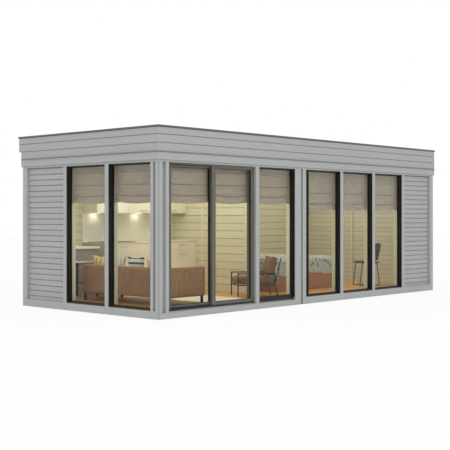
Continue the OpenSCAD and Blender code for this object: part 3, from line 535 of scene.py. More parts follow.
def fasciaBoards(look):
    rng = random.Random(look["seed"])
    upper, lower = solidsOf("upper_fascia"), solidsOf("lower_fascia")
    eave = max(s.low[2] for s in upper)
    front = min(s.low[1] for s in upper)
    backLower = max(s.high[1] for s in lower)
    bm = newBoards()
    for solid in upper:
        axis, sign = outward(solid)
        place, start, end = facePlacer(solid, axis, sign)
        split = solid.high[2] - (solid.high[2] - eave) * look["topShare"]
        levels = [z for z in (solid.low[2], eave, split, solid.high[2]) if z >= solid.low[2]]
        levels = sorted(set(round(z, 5) for z in levels))
        for foot, head in zip(levels, levels[1:]):
            # the two chamfers of each board take painted shade
            outline = grooved(solid.size[axis], foot, head, look["groove"])
            if axis == 0:  # the ends meet the front in a mitre
                stop = end if foot > eave - 0.002 else min(end, backLower)
                addRun(bm, outline, place, front, stop, rng.random(), (1, 5), (1.0, 0.0))
            else:
                mitre = (1.0, 1.0) if sign < 0 else (0.0, 0.0)
                addRun(bm, outline, place, start, end, rng.random(), (1, 5), mitre)
    finishPiece("upperFasciaBoards", bm, "greyBoards", ["upper_fascia"])
    bm = newBoards()
    for solid in lower:
        axis, sign = outward(solid)
        place, start, end = facePlacer(solid, axis, sign)
        levels = [solid.low[2], solid.high[2]]
        if solid.size[2] > 0.2:
            levels.insert(1, min(s.low[2] for s in upper))
        for foot, head in zip(levels, levels[1:]):
            # the two chamfers of each board take painted shade
            outline = grooved(solid.size[axis], foot, head, look["groove"])
            addRun(bm, outline, place, start, end, rng.random(), (1, 5))
    finishPiece("lowerFasciaBoards", bm, "greyBoards", ["lower_fascia"])


fasciaBoards(fascia)
print("fascia boards made")


# inside boards
lining = {
    "cover": 0.1275,
    "endCover": 0.0875,  # narrower boards on the far end wall, with finer joints
    "groove": 0.005,
    "endGroove": 0.004,
    # how dark the painted shade in the board joints is, on the side walls and on the far end wall
    "paintedJointShade": 1.0,
    "endPaintedJointShade": 0.85,
    "skin": 0.016,  # boards on each side of the partition
    "trimWidth": 0.045,
    "trimThick": 0.010,
    "endThick": 0.022,  # strips on the far end wall, with painted shade on both side faces
    "endTrim": 0.16,  # place of the cover strip on the far end wall, along the wall
    "partitionTrim": 0.565,
    "ease": 0.002,
    "seed": 23,
}


def liningCourses(bm, solid, axis, sign, cover, groove, paintedJointShade, rng, thick):
    place, start, end = facePlacer(solid, axis, sign)
    count = max(1, round(solid.size[2] / cover))
    step = solid.size[2] / count
    for i in range(count):
        foot = solid.low[2] + i * step
        # the two chamfers of each board take painted shade
        addRun(bm, grooved(thick, foot, foot + step, groove), place, start, end, rng.random(), (1, 5),
               paintedJointShadeLevel=paintedJointShade)


def insideBoards(look):
    rng = random.Random(look["seed"])
    bm, trims = newBoards(), newBoards()
    w, t = look["trimWidth"], look["trimThick"]

    def trim(low, high, seams=()):
        addBlock(trims, low, high, rng.random(), look["ease"], seams)

    for solid in solidsOf("wall_linings"):
        axis, sign = outward(solid)
        farEnd = axis == 0 and sign > 0
        keys = ("endCover", "endGroove", "endPaintedJointShade") if farEnd else ("cover", "groove", "paintedJointShade")
        liningCourses(bm, solid, axis, -sign, *(look[key] for key in keys), rng, solid.size[axis])
        if farEnd:  # cover strips
            x = solid.low[0]
            for y in (look["endTrim"], solid.high[1] - w):
                # both side faces of each strip take painted shade, as in the gap beside it
                trim((x - look["endThick"], y, solid.low[2]), (x, y + w, solid.high[2]), (0, 4))
    finishPiece("liningBoards", bm, "pineBoards", ["wall_linings"])
    wall = solidsOf("partition")[0]
    (x0, y0, foot), (x1, y1, head) = wall.low, wall.high
    skin = look["skin"]
    bm = newBoards()
    for sign in (-1, 1):
        liningCourses(bm, wall, 0, sign, look["cover"], look["groove"], look["paintedJointShade"], rng, skin)
    addBlock(bm, (x0 + skin, y0, foot), (x1 - skin, y1, head))
    finishPiece("partitionBoards", bm, "pineBoards", ["partition"])
    trim((x0 - t, y0 - t, foot), (x0, y0 + w, head))
    trim((x1, y0 - t, foot), (x1 + t, y0 + w, head))
    trim((x0, y0 - t, foot), (x1, y0, head))
    y = look["partitionTrim"]
    trim((x0 - t, y, foot), (x0, y + w, head))
    finishPiece("insideTrims", trims, "pineTrims")


insideBoards(lining)
print("inside boards made")


# floor planks
planks = {"width": 0.140, "shortest": 1.1, "longest": 2.3, "offcut": 0.5, "ease": 0.0015, "seed": 7}


def floorPlanks(look):
    rng = random.Random(look["seed"])
    bm = newBoards()
    for slab in solidsOf("floorboards"):
        rows = max(1, round(slab.size[1] / look["width"]))
        step = slab.size[1] / rows
        for i in range(rows):
            x = slab.low[0]
            y = slab.low[1] + i * step
            while x < slab.high[0] - 0.01:
                length = rng.uniform(look["shortest"], look["longest"])
                stop = slab.high[0] if slab.high[0] - x - length < look["offcut"] else x + length
                addBlock(bm, (x, y, slab.low[2]), (stop, slab.low[1] + (i + 1) * step, slab.high[2]),
                         rng.random(), look["ease"])
                x = stop
    finishPiece("floorPlanks", bm, "floorOak", ["floorboards"])


floorPlanks(planks)

roofing = {"rollWidth": 1.0, "lap": 0.09, "lapThick": 0.004, "lastRoll": 0.2}


def roofLaps(look):
    low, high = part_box("roof_membrane")
    bm = newBoards()
    x = low[0] + look["rollWidth"]
    while x < high[0] - look["lastRoll"]:
        addBlock(bm, (x, low[1], high[2]), (x + look["lap"], high[1], high[2] + look["lapThick"]),
                 0.4, 0.0015)
        x += look["rollWidth"]
    finishPiece("roofLaps", bm, "roofFelt")


roofLaps(roofing)
print("floor and roof made")


# glazing units: two panes, a spacer between them, a seal round each face
units = {"pane": 0.004, "spacer": 0.014, "bite": 0.010, "seal": 0.005, "sealThick": 0.004}


def addRing(bm, solid, axis, near, far, width, inset=0.0):
    run = 1 - axis
    margin = Vector((inset, inset, inset))
    low, high = solid.low + margin, solid.high - margin
    bars = [((low[run], low[2]), (low[run] + width, high[2])),
            ((high[run] - width, low[2]), (high[run], high[2])),
            ((low[run] + width, low[2]), (high[run] - width, low[2] + width)),
            ((low[run] + width, high[2] - width), (high[run] - width, high[2]))]
    for (a, foot), (b, head) in bars:
        start, stop = [0, 0, foot], [0, 0, head]
        start[run], stop[run] = a, b
        start[axis], stop[axis] = near, far
        addBlock(bm, start, stop, 0.5, 0.0008)


def glazingUnits(prefix, node, body, look):
    panes, spacers, seals = newBoards(), newBoards(), newBoards()
    pane, seal = look["pane"], look["sealThick"]
    for solid in solidsOf(node):
        axis = thinAxis(solid)
        outer, inner = solid.low[axis], solid.high[axis]
        for near, far in ((outer, outer + pane), (inner - pane, inner)):
            start, stop = solid.low.copy(), solid.high.copy()
            start[axis], stop[axis] = near, far
            addBlock(panes, start, stop, 0.5, 0.0006)
        addRing(spacers, solid, axis, outer + pane, inner - pane, look["spacer"])
        for near, far in ((outer - seal, outer), (inner, inner + seal)):
            addRing(seals, solid, axis, near, far, look["seal"], look["bite"])
    finishPiece(prefix + "Panes", panes, "glass", [node], body)
    finishPiece(prefix + "Spacers", spacers, "rubber", (), body)
    finishPiece(prefix + "Seals", seals, "rubber", (), body)


glazingUnits("window", "window_glass", "pod", units)
glazingUnits("fixedLeaf", "fixed_leaf_glass", "pod", units)
glazingUnits("slidingLeaf", "sliding_leaf_glass", "sliding_leaf", units)
print("glazing made")


# pine linings from the frames to the room on both sides of every bay, and the blinds' cloth-faced side guides
reveals = {"thick": 0.004, "guide": 0.003, "guideReach": 0.012, "seed": 3}


def revealLinings(look):
    rng = random.Random(look["seed"])
    bm, guides = newBoards(), newBoards()
    cloths = solidsOf("blinds")
    stiles = sorted(solidsOf("window_stiles"),
                    key=lambda s: (s.size[0] < s.size[1], s.middle[0], s.middle[1]))
    for pair in list(zip(stiles[::2], stiles[1::2])) + [tuple(solidsOf("door_jambs"))]:
        axis = 0 if abs(pair[0].middle[0] - pair[1].middle[0]) < 0.01 else 1
        run = 1 - axis
        beside = [c for c in cloths if thinAxis(c) == axis]
        inner = min(c.high[axis] for c in beside)
        for stile, edge, way in ((pair[0], pair[0].low[run], 1), (pair[1], pair[1].high[run], -1)):
            low, high = stile.low.copy(), stile.high.copy()
            low[axis], high[axis] = stile.high[axis], inner
            low[run], high[run] = sorted((edge, edge + way * look["thick"]))
            high[2] = cloths[0].high[2]
            addBlock(bm, low, high, rng.random(), 0.001)
            cloth = min(beside, key=lambda c: min(abs(c.low[run] - edge), abs(c.high[run] - edge)))
            high[axis] = cloth.low[axis] + look["guideReach"]
            low[2] = cloth.low[2]
            edge += way * look["thick"]
            low[run], high[run] = sorted((edge, edge + way * look["guide"]))
            addBlock(guides, low, high, 0.5, 0.001)
    finishPiece("revealLinings", bm, "pineTrims")
    finishPiece("blindGuides", guides, "blindLinen")


revealLinings(reveals)

# blinds: cloth drawn up in folds, seen from its back through the window
blinds = {
    "hem": 0.118,  # from the foot to the lowest rod pocket
    "pitch": 0.150,
    "longDrop": 0.58,
    "pitchLong": 0.163,  # on drops longer than that
    "headClear": 0.06,
    "pocket": 0.005,
    "loop": 0.075,  # fold of cloth that hangs on the room side of the lower pockets
    "sag": 0.026,
    "columns": 40,
    "cloth": 0.0016,
    "sideGap": 0.006,
    "setBack": 0.008,  # from the front of its room to the plain cloth
    "ripple": 0.0022,
    "railHeight": 0.030,
}


def smoothLine(points, steps):
    line = []
    padded = [points[0]] + points + [points[-1]]
    for p0, p1, p2, p3 in zip(padded, padded[1:], padded[2:], padded[3:]):
        for i in range(steps):
            t = i / steps
            line.append(0.5 * (2 * p1 + (p2 - p0) * t + (2 * p0 - 5 * p1 + 4 * p2 - p3) * t * t
                               + (3 * p1 - p0 - 3 * p2 + p3) * t ** 3))
    return line + [points[-1]]


def blindOutline(top, foot, look):
    pitch = look["pitchLong"] if top - foot > look["longDrop"] else look["pitch"]
    pockets = []
    z = foot + look["hem"]
    while z < top - look["headClear"]:
        pockets.insert(0, z)
        z += pitch
    points = [Vector((0.0, top))]
    for i, z in enumerate(pockets):
        above = points[-1][1]
        deep = (i + 1) / len(pockets)
        points.append(Vector((0.003 + 0.006 * deep, (above + z) / 2)))
        bite = look["pocket"] * (0.6 + 0.6 * deep)
        points += [Vector((0.0, z + 0.016)), Vector((-bite, z + 0.006)), Vector((-bite, z - 0.004))]
        if i >= len(pockets) - 2:
            drop = look["loop"] * (0.8 + 0.4 * deep)
            loop = [(0.008, 0.012), (0.020, drop * 0.5), (0.026, drop), (0.016, drop * 0.98),
                    (0.011, drop * 0.45), (0.002, 0.024)]
            points += [Vector((out, z - down)) for out, down in loop]
        else:
            points.append(Vector((0.001, z - 0.014)))
    points += [Vector((-0.002, foot + look["hem"] * 0.55)), Vector((-0.004, foot + 0.028)),
               Vector((-0.001, foot))]
    return smoothLine(points, 5)


def makeBlinds(look):
    rails = newBoards()
    for number, solid in enumerate(solidsOf("blinds")):
        axis = thinAxis(solid)
        run = 1 - axis
        line = blindOutline(solid.high[2] - 0.004, solid.low[2], look)
        verts, faces = [], []
        columns, width = look["columns"], solid.size[run] - 2 * look["sideGap"]
        for row, (deep, z) in enumerate(line):
            hang = (solid.high[2] - z) / solid.size[2]
            for c in range(columns + 1):
                u = c / columns
                along = solid.low[run] + look["sideGap"] + u * width
                bow = look["sag"] * hang ** 1.5 * (1 - (2 * u - 1) ** 2)
                ripple = look["ripple"] * hang * noise.noise(Vector((along * 7, z * 11, number * 3.7)))
                point = [0.0, 0.0, z - bow + look["sag"] * 0.6 * hang ** 1.5]
                point[axis] = solid.low[axis] + look["setBack"] + deep + ripple
                point[run] = along
                verts.append(point)
                if row and c:
                    here = row * (columns + 1) + c
                    faces.append((here, here - 1, here - columns - 2, here - columns - 1))
        name = "blind" + "ABCDEFGH"[number]
        mesh = bpy.data.meshes.new(name)
        mesh.from_pydata(verts, [], faces)
        obj = placePiece(name, mesh, "blindLinen", ["blinds"], smooth=True)
        thick = obj.modifiers.new("cloth", "SOLIDIFY")
        thick.thickness = look["cloth"]
        thick.offset = 0
        low, high = solid.low.copy(), solid.high.copy()
        low[2] = high[2] - look["railHeight"]
        low[axis] += 0.014
        addBlock(rails, low, high, 0.5, 0.003)
    finishPiece("blindRails", rails, "kitchenCream")


makeBlinds(blinds)
print("blinds hung")


# soft goods start as rounded boxes, swell together in one cloth run and are fitted to their places
softJobs = []


def boxGrid(half, cell):
    bm = bmesh.new()
    counts = [max(2, round(2 * h / cell)) for h in half]
    for axis in range(3):
        u, v = [i for i in range(3) if i != axis]
        for sign in (-1, 1):
            rows = []
            for i in range(counts[u] + 1):
                row = []
                for j in range(counts[v] + 1):
                    point = [0.0, 0.0, 0.0]
                    point[axis] = sign * half[axis]
                    point[u] = half[u] * (2 * i / counts[u] - 1)
                    point[v] = half[v] * (2 * j / counts[v] - 1)
                    row.append(bm.verts.new(point))
                rows.append(row)
            for a, b in zip(rows, rows[1:]):
                for i in range(counts[v]):
                    bm.faces.new((a[i], a[i + 1], b[i + 1], b[i]))
    bmesh.ops.remove_doubles(bm, verts=bm.verts, dist=0.0001)
    bmesh.ops.recalc_face_normals(bm, faces=bm.faces)
    return bm


def roundBox(half, cell, radius):
    bm = boxGrid(half, cell)
    seams = [[], []]
    for vert in bm.verts:
        edge = [abs(abs(vert.co[i]) - half[i]) < 1e-5 for i in range(3)]
        if edge[2] and (edge[0] or edge[1]):
            seams[0 if vert.co[2] > 0 else 1].append(vert)
        core = Vector([max(-(half[i] - radius), min(half[i] - radius, vert.co[i])) for i in range(3)])
        away = vert.co - core
        if away.length > 1e-6:
            vert.co = core + away.normalized() * radius
    bm.verts.index_update()
    rings = []
    for ring in seams:
        ring.sort(key=lambda v: math.atan2(v.co[1] / half[1], v.co[0] / half[0]))
        rings.append([v.index for v in ring])
    return bm, rings


stuffing = {
    "slack": 0.95,  # size of a padded piece before it swells, as a share of its room
    "pillowSpread": 1.06,  # a pillow starts as a wide flat bag
    "pillowHalf": 0.012,
    "pillowRadius": 0.010,
    "frames": 20,
    "cloth": {"quality": 5, "mass": 0.3, "tension_stiffness": 18, "compression_stiffness": 18,
              "shear_stiffness": 6, "bending_stiffness": 0.6, "use_pressure": True},
}


def setAll(target, values):
    for name, value in values.items():
        setattr(target, name, value)


def roundOff(obj):
    smooth = obj.modifiers.new("round", "SUBSURF")
    smooth.levels = smooth.render_levels = 1


def softPiece(name, half, place, finish, slotName, stands, cell=0.03, radius=0.03, pressure=4.0, cap=0.03,
              fill=0.7, pillow=False):
    if pillow:
        wide = stuffing["pillowSpread"]
        start = Vector((half[0] * wide, half[1] * wide, stuffing["pillowHalf"]))
        radius = stuffing["pillowRadius"]
    else:
        start = Vector([h * stuffing["slack"] for h in half])
    bm, rings = roundBox(start, cell, min(radius, min(start) * 0.9))
    mesh = bpy.data.meshes.new(name)
    bm.to_mesh(mesh)
    bm.free()
    obj = placePiece(name, mesh, finish, stands, smooth=True)
    rest = [v.co.copy() for v in mesh.vertices]
    softJobs.append(SimpleNamespace(obj=obj, half=Vector(half), place=place, cap=cap, rings=rings, fill=fill,
                                    pressure=pressure, pillow=pillow, rest=rest))
    return softJobs[-1]


def softBox(name, low, high, finish, slotName, stands, **settings):
    place = Matrix.Translation((high + low) / 2)
    return softPiece(name, (high - low) / 2, place, finish, slotName, stands, **settings)


def softSet(prefix, node, looks, slotName, **settings):
    jobs = []
    for letter, finish, solid in zip("ABCD", looks, solidsOf(node)):
        own = ownAxes(solid)
        jobs.append(softPiece(prefix + letter, own.half, own.place, finish, slotName, [node], **settings))
    return jobs


def playTo(last):
    for number in range(1, last + 1):
        scene.frame_set(number)
    return bpy.context.evaluated_depsgraph_get()


def swellAll(look):
    for job in softJobs:
        cloth = job.obj.modifiers.new("swell", "CLOTH")
        setAll(cloth.settings, look["cloth"])
        cloth.settings.uniform_pressure_force = job.pressure
        cloth.settings.effector_weights.gravity = 0
        cloth.collision_settings.use_collision = False
        cloth.collision_settings.use_self_collision = False
        cloth.point_cache.frame_end = look["frames"]
    graph = playTo(look["frames"])
    for job in softJobs:
        if graph:
            swollen = [v.co.copy() for v in job.obj.evaluated_get(graph).data.vertices]
            for vert, co, rest in zip(job.obj.data.vertices, swollen, job.rest):
                move = co - rest
                if not job.pillow and move.length > job.cap:
                    move = move.normalized() * job.cap
                vert.co = rest + move
        job.obj.modifiers.clear()
    scene.frame_set(1)
    for job in softJobs:
        points = [v.co for v in job.obj.data.vertices]
        low = Vector([min(p[i] for p in points) for i in range(3)])
        high = Vector([max(p[i] for p in points) for i in range(3)])
        fit = [2 * job.half[i] / (high[i] - low[i]) for i in range(3)]
        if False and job.pillow:
            fit[2] = 1.0
        for vert in job.obj.data.vertices:
            local = Vector([(vert.co[i] - (low[i] + high[i]) / 2) * fit[i] for i in range(3)])
            vert.co = job.place @ local
        job.obj.data.update()
        roundOff(job.obj)


def addTube(bm, points, radius, sides=8, closed=True):
    layer = bm.faces.layers.float["tone"]
    count = len(points)
    rings = []
    for i, point in enumerate(points):
        ahead = points[(i + 1) % count] if closed or i + 1 < count else point
        behind = points[i - 1] if closed or i else point
        way = (ahead - behind).normalized()
        side = way.cross(Vector((0.0, 0.0, 1.0)))
        if side.length < 0.1:
            side = way.cross(Vector((0.0, 1.0, 0.0)))
        side.normalize()
        up = side.cross(way).normalized()
        rings.append([bm.verts.new(point + radius * (math.cos(a) * side + math.sin(a) * up))
                      for a in (2 * math.pi * k / sides for k in range(sides))])
    pairs = list(zip(rings, rings[1:])) + ([(rings[-1], rings[0])] if closed else [])
    for a, b in pairs:
        for k in range(sides):
            bm.faces.new((a[k], a[(k + 1) % sides], b[(k + 1) % sides], b[k]))[layer] = 0.5
    if not closed:
        bm.faces.new(rings[0])[layer] = 0.5
        bm.faces.new(list(reversed(rings[-1])))[layer] = 0.5


sofa = {"edge": 0.014, "panelPressure": 1.5, "seatPressure": 5.0, "pillowPressure": 9.0, "piping": 0.005}
sofaSolids = solidsOf("sofa_frame")
platform = min(sofaSolids, key=lambda s: s.low[2])
sofaBack = min((s for s in sofaSolids if s is not platform), key=lambda s: s.size[0])
sofaArms = [s for s in sofaSolids if s is not platform and s is not sofaBack]


# the back and the arms are upholstered down to the feet, the platform sits between them
def sofaPanel(name, low, high):
    softBox(name, low, high, "sofaFabric", "sofa_fabric", ["sofa_frame"], cell=0.04, radius=sofa["edge"],
            pressure=sofa["panelPressure"], cap=0.006, fill=0.95)


for letter, solid in zip("ABC", [sofaBack] + sofaArms):
    sofaPanel("sofaPanel" + letter, Vector((*solid.low[:2], platform.low[2])), solid.high)
seatLow, seatHigh = platform.low.copy(), platform.high.copy()
seatLow[0] = sofaBack.high[0]
seatLow[1], seatHigh[1] = sofaArms[0].high[1], sofaArms[1].low[1]
sofaPanel("sofaPlatform", seatLow, seatHigh)
seats = softSet("seatCushion", "seat_cushions", ["sofaFabric"] * 2, "sofa_fabric", cell=0.03, radius=0.04,
                pressure=sofa["seatPressure"], cap=0.028)
softSet("scatterCushion", "scatter_cushions", ["cushionGold", "cushionStripe", "cushionPale", "cushionGold"],
        "scatter_fabric", cell=0.014, pressure=sofa["pillowPressure"], pillow=True, fill=0.6)

armchair = {"pressure": 4.0, "swell": 0.02, "piping": 0.004}
armchairSeats = softSet("armchairCushion", "armchair_cushions", ["brownHide"] * 2, "sofa_fabric", cell=0.022,
                        radius=0.03, pressure=armchair["pressure"], cap=armchair["swell"])

bed = {
    "throwGap": 0.028,  # room round the mattress for the throw
    "headGap": 0.004,
    "mattressTop": 0.018,
    "throwHang": 0.27,
    "throwShort": 0.36,  # from the head of the bed to the throw's edge
    "throwLift": 0.014,  # height that the throw is dropped from
    "throwThick": 0.005,
    "cell": 0.030,
    "frames": 40,
    "cloth": {"quality": 7, "mass": 0.35, "air_damping": 3, "tension_stiffness": 20,
              "compression_stiffness": 20, "bending_stiffness": 1.5},
    "grip": {"thickness_outer": 0.006, "cloth_friction": 20},
}
covers = solidsOf("bed_covers")[0]
gap = bed["throwGap"]
mattressLow = covers.low + Vector((gap, gap, 0.0))
mattressHigh = covers.high - Vector((gap, bed["headGap"], bed["mattressTop"]))
mattress = softBox("mattress", mattressLow, mattressHigh, "bedLinen", "bed_cotton", ["bed_covers"], cell=0.05,
                   radius=0.05, pressure=3.0, cap=0.012, fill=0.9)
swellAll(stuffing)
print("soft goods swollen,", len(softJobs))


def makePiping(name, jobs, radius, finish):
    bm = newBoards()
    for job in jobs:
        for ring in job.rings:
            addTube(bm, [job.obj.data.vertices[i].co.copy() for i in ring], radius, 6)
    finishPiece(name, bm, finish, smooth=True)


makePiping("sofaPiping", seats, sofa["piping"], "piping")
makePiping("armchairPiping", armchairSeats, armchair["piping"], "brownHide")


# bed throw, dropped on the mattress
def bedThrow(look):
    hang = look["throwHang"]
    x0, x1 = mattressLow[0] - hang, mattressHigh[0] + hang
    y0, y1 = mattressLow[1] - hang, mattressHigh[1] - look["throwShort"]
    nx, ny = round((x1 - x0) / look["cell"]), round((y1 - y0) / look["cell"])
    z = mattressHigh[2] + look["throwLift"]
    verts = [(x0 + (x1 - x0) * i / nx, y0 + (y1 - y0) * j / ny, z)
             for j in range(ny + 1) for i in range(nx + 1)]
    faces = [(j * (nx + 1) + i, j * (nx + 1) + i + 1, (j + 1) * (nx + 1) + i + 1, (j + 1) * (nx + 1) + i)
             for j in range(ny) for i in range(nx)]
    mesh = bpy.data.meshes.new("bedThrow")
    mesh.from_pydata(verts, [], faces)
    obj = placePiece("bedThrow", mesh, "bedThrow", ["bed_covers"], smooth=True)
    hit = mattress.obj.modifiers.new("hit", "COLLISION")
    setAll(mattress.obj.collision, look["grip"])
    cloth = obj.modifiers.new("drape", "CLOTH")
    setAll(cloth.settings, look["cloth"])
    cloth.collision_settings.distance_min = 0.005
    cloth.point_cache.frame_end = look["frames"]
    graph = playTo(look["frames"])
    settled = [v.co.copy() for v in obj.evaluated_get(graph).data.vertices]
    obj.modifiers.clear()
    mattress.obj.modifiers.remove(hit)
    for vert, co in zip(obj.data.vertices, settled):
        vert.co = co
    obj.data.update()
    scene.frame_set(1)
    thick = obj.modifiers.new("cloth", "SOLIDIFY")
    thick.thickness = look["throwThick"]
    thick.offset = 1
    roundOff(obj)


bedThrow(bed)
print("bed made")

rug = {"cells": 40, "ripple": 0.0015, "wander": 0.003}


def layRug(look):
    low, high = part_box("rug")
    bm = boxGrid((high - low) / 2, (high[1] - low[1]) / look["cells"])
    middle = (low + high) / 2
    for vert in bm.verts:
        top = vert.co[2] > 0
        vert.co += middle
        if top:
            vert.co[2] += look["ripple"] * (noise.noise(vert.co * 6) - 0.6)
        wander = look["wander"] * noise.noise(vert.co * 5 + Vector((9, 0, 0)))
        vert.co[0] -= abs(wander) * (1 if vert.co[0] > middle[0] else -1)
    obj = finishPiece("woolRug", bm, "rugWool", ["rug"], smooth=False)


layRug(rug)
print("rug laid")


# kitchen fronts
kitchen = {
    "front": 0.018,
    "gap": 0.003,
    "doorWidth": 0.6,
    "drawer": 0.16,
    "toe": 0.105,
    "handle": 0.16,
    "handleRadius": 0.005,
    "handleInset": 0.04,  # from the front's edge
    "handleReach": 0.028,
    "splashTiles": 4,
    "splashThick": 0.008,
    "splashJoint": 0.002,
    "lamps": (-2.26, -1.36, -0.74),  # places along the wall of the lamps under the cupboards
    "lampSize": (0.10, 0.06, 0.004),
    "lampBack": 0.23,  # from the cupboards' front
    "hobPlace": (-2.12, 1.03),
    "hobSize": (0.58, 0.50, 0.006),
    "hobRings": ((-0.14, -0.11, 0.09), (0.14, -0.11, 0.07), (-0.14, 0.12, 0.07), (0.14, 0.12, 0.09)),
    "ringWire": 0.0012,
}


def kitchenFronts(look):
    low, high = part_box("kitchen_units")
    topLow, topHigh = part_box("wall_cupboards")
    counterLow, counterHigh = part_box("worktop")
    fronts, handles = newBoards(), newBoards()
    half = look["gap"] / 2

    def front(x0, x1, y, z0, z1, pull):
        face = y - look["front"]
        addBlock(fronts, (x0 + half, face, z0 + half), (x1 - half, y - 0.001, z1 - half), 0.5, 0.0015)
        mid, z = (x0 + x1) / 2, (z1 - look["handleInset"] if pull == "top" else z0 + look["handleInset"])
        side, reach = look["handle"] / 2, look["handleReach"]
        bar = [(-side, 0.0), (-side, reach - 0.006), (-side + 0.008, reach), (side - 0.008, reach),
               (side, reach - 0.006), (side, 0.0)]
        addTube(handles, [Vector((mid + x, face - out, z)) for x, out in bar], look["handleRadius"], 8, False)

    count = round((high[0] - low[0]) / look["doorWidth"])
    step = (high[0] - low[0]) / count
    drawer = high[2] - look["drawer"]
    for i in range(count):
        x0 = low[0] + i * step
        front(x0, x0 + step, low[1], low[2] + look["toe"], drawer, "top")
        front(x0, x0 + step, low[1], drawer, high[2], "top")
        front(x0, x0 + step, topLow[1], topLow[2], topHigh[2], "foot")
    finishPiece("kitchenFronts", fronts, "kitchenCream")
    finishPiece("kitchenHandles", handles, "steel", smooth=True)
    bm = newBoards()
    joint = look["splashJoint"] / 2
    tile = (counterHigh[0] - counterLow[0]) / look["splashTiles"]
    for i in range(look["splashTiles"]):
        x0 = counterLow[0] + i * tile
        addBlock(bm, (x0 + joint, counterHigh[1] - look["splashThick"], counterHigh[2]),
                 (counterLow[0] + (i + 1) * tile - joint, counterHigh[1], topLow[2]), 0.5, 0.001)
    finishPiece("splashPanels", bm, "splashPanel")
    bm = newBoards()
    wide, deep, thick = look["lampSize"]
    y = topLow[1] + look["lampBack"]
    for x in look["lamps"]:
        addBlock(bm, (x - wide / 2, y - deep / 2, topLow[2] - thick), (x + wide / 2, y + deep / 2, topLow[2]),
                 0.5, 0.0015)
    finishPiece("cupboardLamps", bm, "lampGlow")
    bm = newBoards()
    (x, y), (wide, deep, thick), z = look["hobPlace"], look["hobSize"], counterHigh[2]
    addBlock(bm, (x - wide / 2, y - deep / 2, z), (x + wide / 2, y + deep / 2, z + thick), 0.5, 0.002)
    finishPiece("hobPlate", bm, "hobGlass")
    bm = newBoards()
    turns = [2 * math.pi * k / 32 for k in range(32)]
    for dx, dy, radius in look["hobRings"]:
        ring = [Vector((x + dx + radius * math.cos(a), y + dy + radius * math.sin(a), z + thick))
                for a in turns]
        addTube(bm, ring, look["ringWire"], 6)
    finishPiece("hobRings", bm, "steel", smooth=True)


kitchenFronts(kitchen)
print("kitchen fronts made")


# desk chair: a dished seat and a bowed back in one hide
chair = {"dish": 0.012, "corner": 0.42, "thinEdge": 0.55, "cells": 16}


def roundedPlate(own, look):
    half, cells, corner, dish = own.half, look["cells"], look["corner"], look["dish"]
    bm = newBoards()
    layer = bm.faces.layers.float["tone"]
    sheets = []
    for side in (-1, 1):
        rows = []
        for i in range(cells + 1):
            row = []
            for j in range(cells + 1):
                u, v = 2 * i / cells - 1, 2 * j / cells - 1
                # square pulled towards a disc so that the corners are round
                x = u * math.sqrt(1 - corner * v * v / 2)
                y = v * math.sqrt(1 - corner * u * u / 2)
                thick = half[2] * (1 - look["thinEdge"] * max(abs(u), abs(v)) ** 6)
                sink = dish * (1 - x * x) * (1 - 0.4 * y * y)
                point = Vector((x * half[0], y * half[1], side * thick - sink + dish * 0.4))
                row.append(bm.verts.new(own.place @ point))
            rows.append(row)
        sheets.append(rows)
        for a, b in zip(rows, rows[1:]):
            for k in range(cells):
                bm.faces.new((a[k], a[k + 1], b[k + 1], b[k]))[layer] = 0.5
    steps = range(cells)
    rim = [[rows[0][k] for k in steps] + [rows[k][cells] for k in steps]
           + [rows[cells][cells - k] for k in steps] + [rows[cells - k][0] for k in steps] for rows in sheets]
    for k in range(len(rim[0])):
        n = (k + 1) % len(rim[0])
        bm.faces.new((rim[0][k], rim[0][n], rim[1][n], rim[1][k]))[layer] = 0.5
    return bm


for letter, solid in zip("AB", solidsOf("chair_shell")):
    own = ownAxes(solid)
    up = own.axes[2][2]
    if abs(up) > 0.7 and up < 0:  # keep the seat's hollow on its upper side
        own.place = own.place @ Matrix.Rotation(math.pi, 4, "X")
    roundOff(finishPiece("chairShell" + letter, roundedPlate(own, chair), "blackHide",
                         ["chair_shell"], smooth=True))
print("chair made")


# bar table: grey apron panels and a foot rail
barTable = {"panel": 0.006, "panelGap": 0.002, "rail": 0.009, "railInset": 0.02, "railHeight": 0.24,
            "apron": 0.178, "top": 0.031}


def barTableTrim(look):
    low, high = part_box("bar_table_legs")
    topLow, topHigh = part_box("bar_table")
    bm = newBoards()
    head = topHigh[2] - look["top"]
    addBlock(bm, (topLow[0] + look["panelGap"], low[1] - look["panel"], head - look["apron"]),
             (topHigh[0] - look["panelGap"], low[1], head), 0.5, 0.0015)
    finishPiece("barTableApron", bm, "apronGrey")
    bm = newBoards()
    inset, z = look["railInset"], low[2] + look["railHeight"]
    for y in (low[1] + inset, high[1] - inset):
        ends = [Vector((low[0] + inset, y, z)), Vector((high[0] - inset, y, z))]
        addTube(bm, ends, look["rail"], 10, False)
    finishPiece("barTableRails", bm, "blackMetal", smooth=True)


barTableTrim(barTable)

# finishes of the kept nodes, with the width that their edges are eased by
kept = {
    "greyPosts": (0.002, ["corner_posts", "module_posts", "mullions", "window_trims"]),
    "greyBoards": (0.002, ["plinth_boards", "floor_deck", "long_headers", "end_headers", "drip_strips",
                           "eave_soffit"]),
    "rawTimber": (0.002, ["floor_bearers", "front_wall", "left_wall", "back_wall", "right_wall",
                          "roof_deck"]),
    "ceilingPaint": (0.001, ["ceiling"]),
    "roofFelt": (0.002, ["roof_membrane"]),
    "capMetal": (0.0015, ["roof_cap"]),
    "frameBlack": (0.0015, ["window_stiles", "window_rails", "window_sills"]),
    "doorBronze": (0.0015, ["door_jambs", "door_head", "fixed_leaf_stiles", "fixed_leaf_rails",
                            "sliding_leaf_stiles", "sliding_leaf_rails"]),
    "kitchenCream": (0.002, ["kitchen_units", "wall_cupboards", "bar_table"]),
    "worktopStone": (0.003, ["worktop"]),
    "blackMetal": (0.0015, ["bar_table_legs", "armchair_frame", "chair_legs", "sofa_feet"]),
    "bedTimber": (0.004, ["bed_base"]),
}


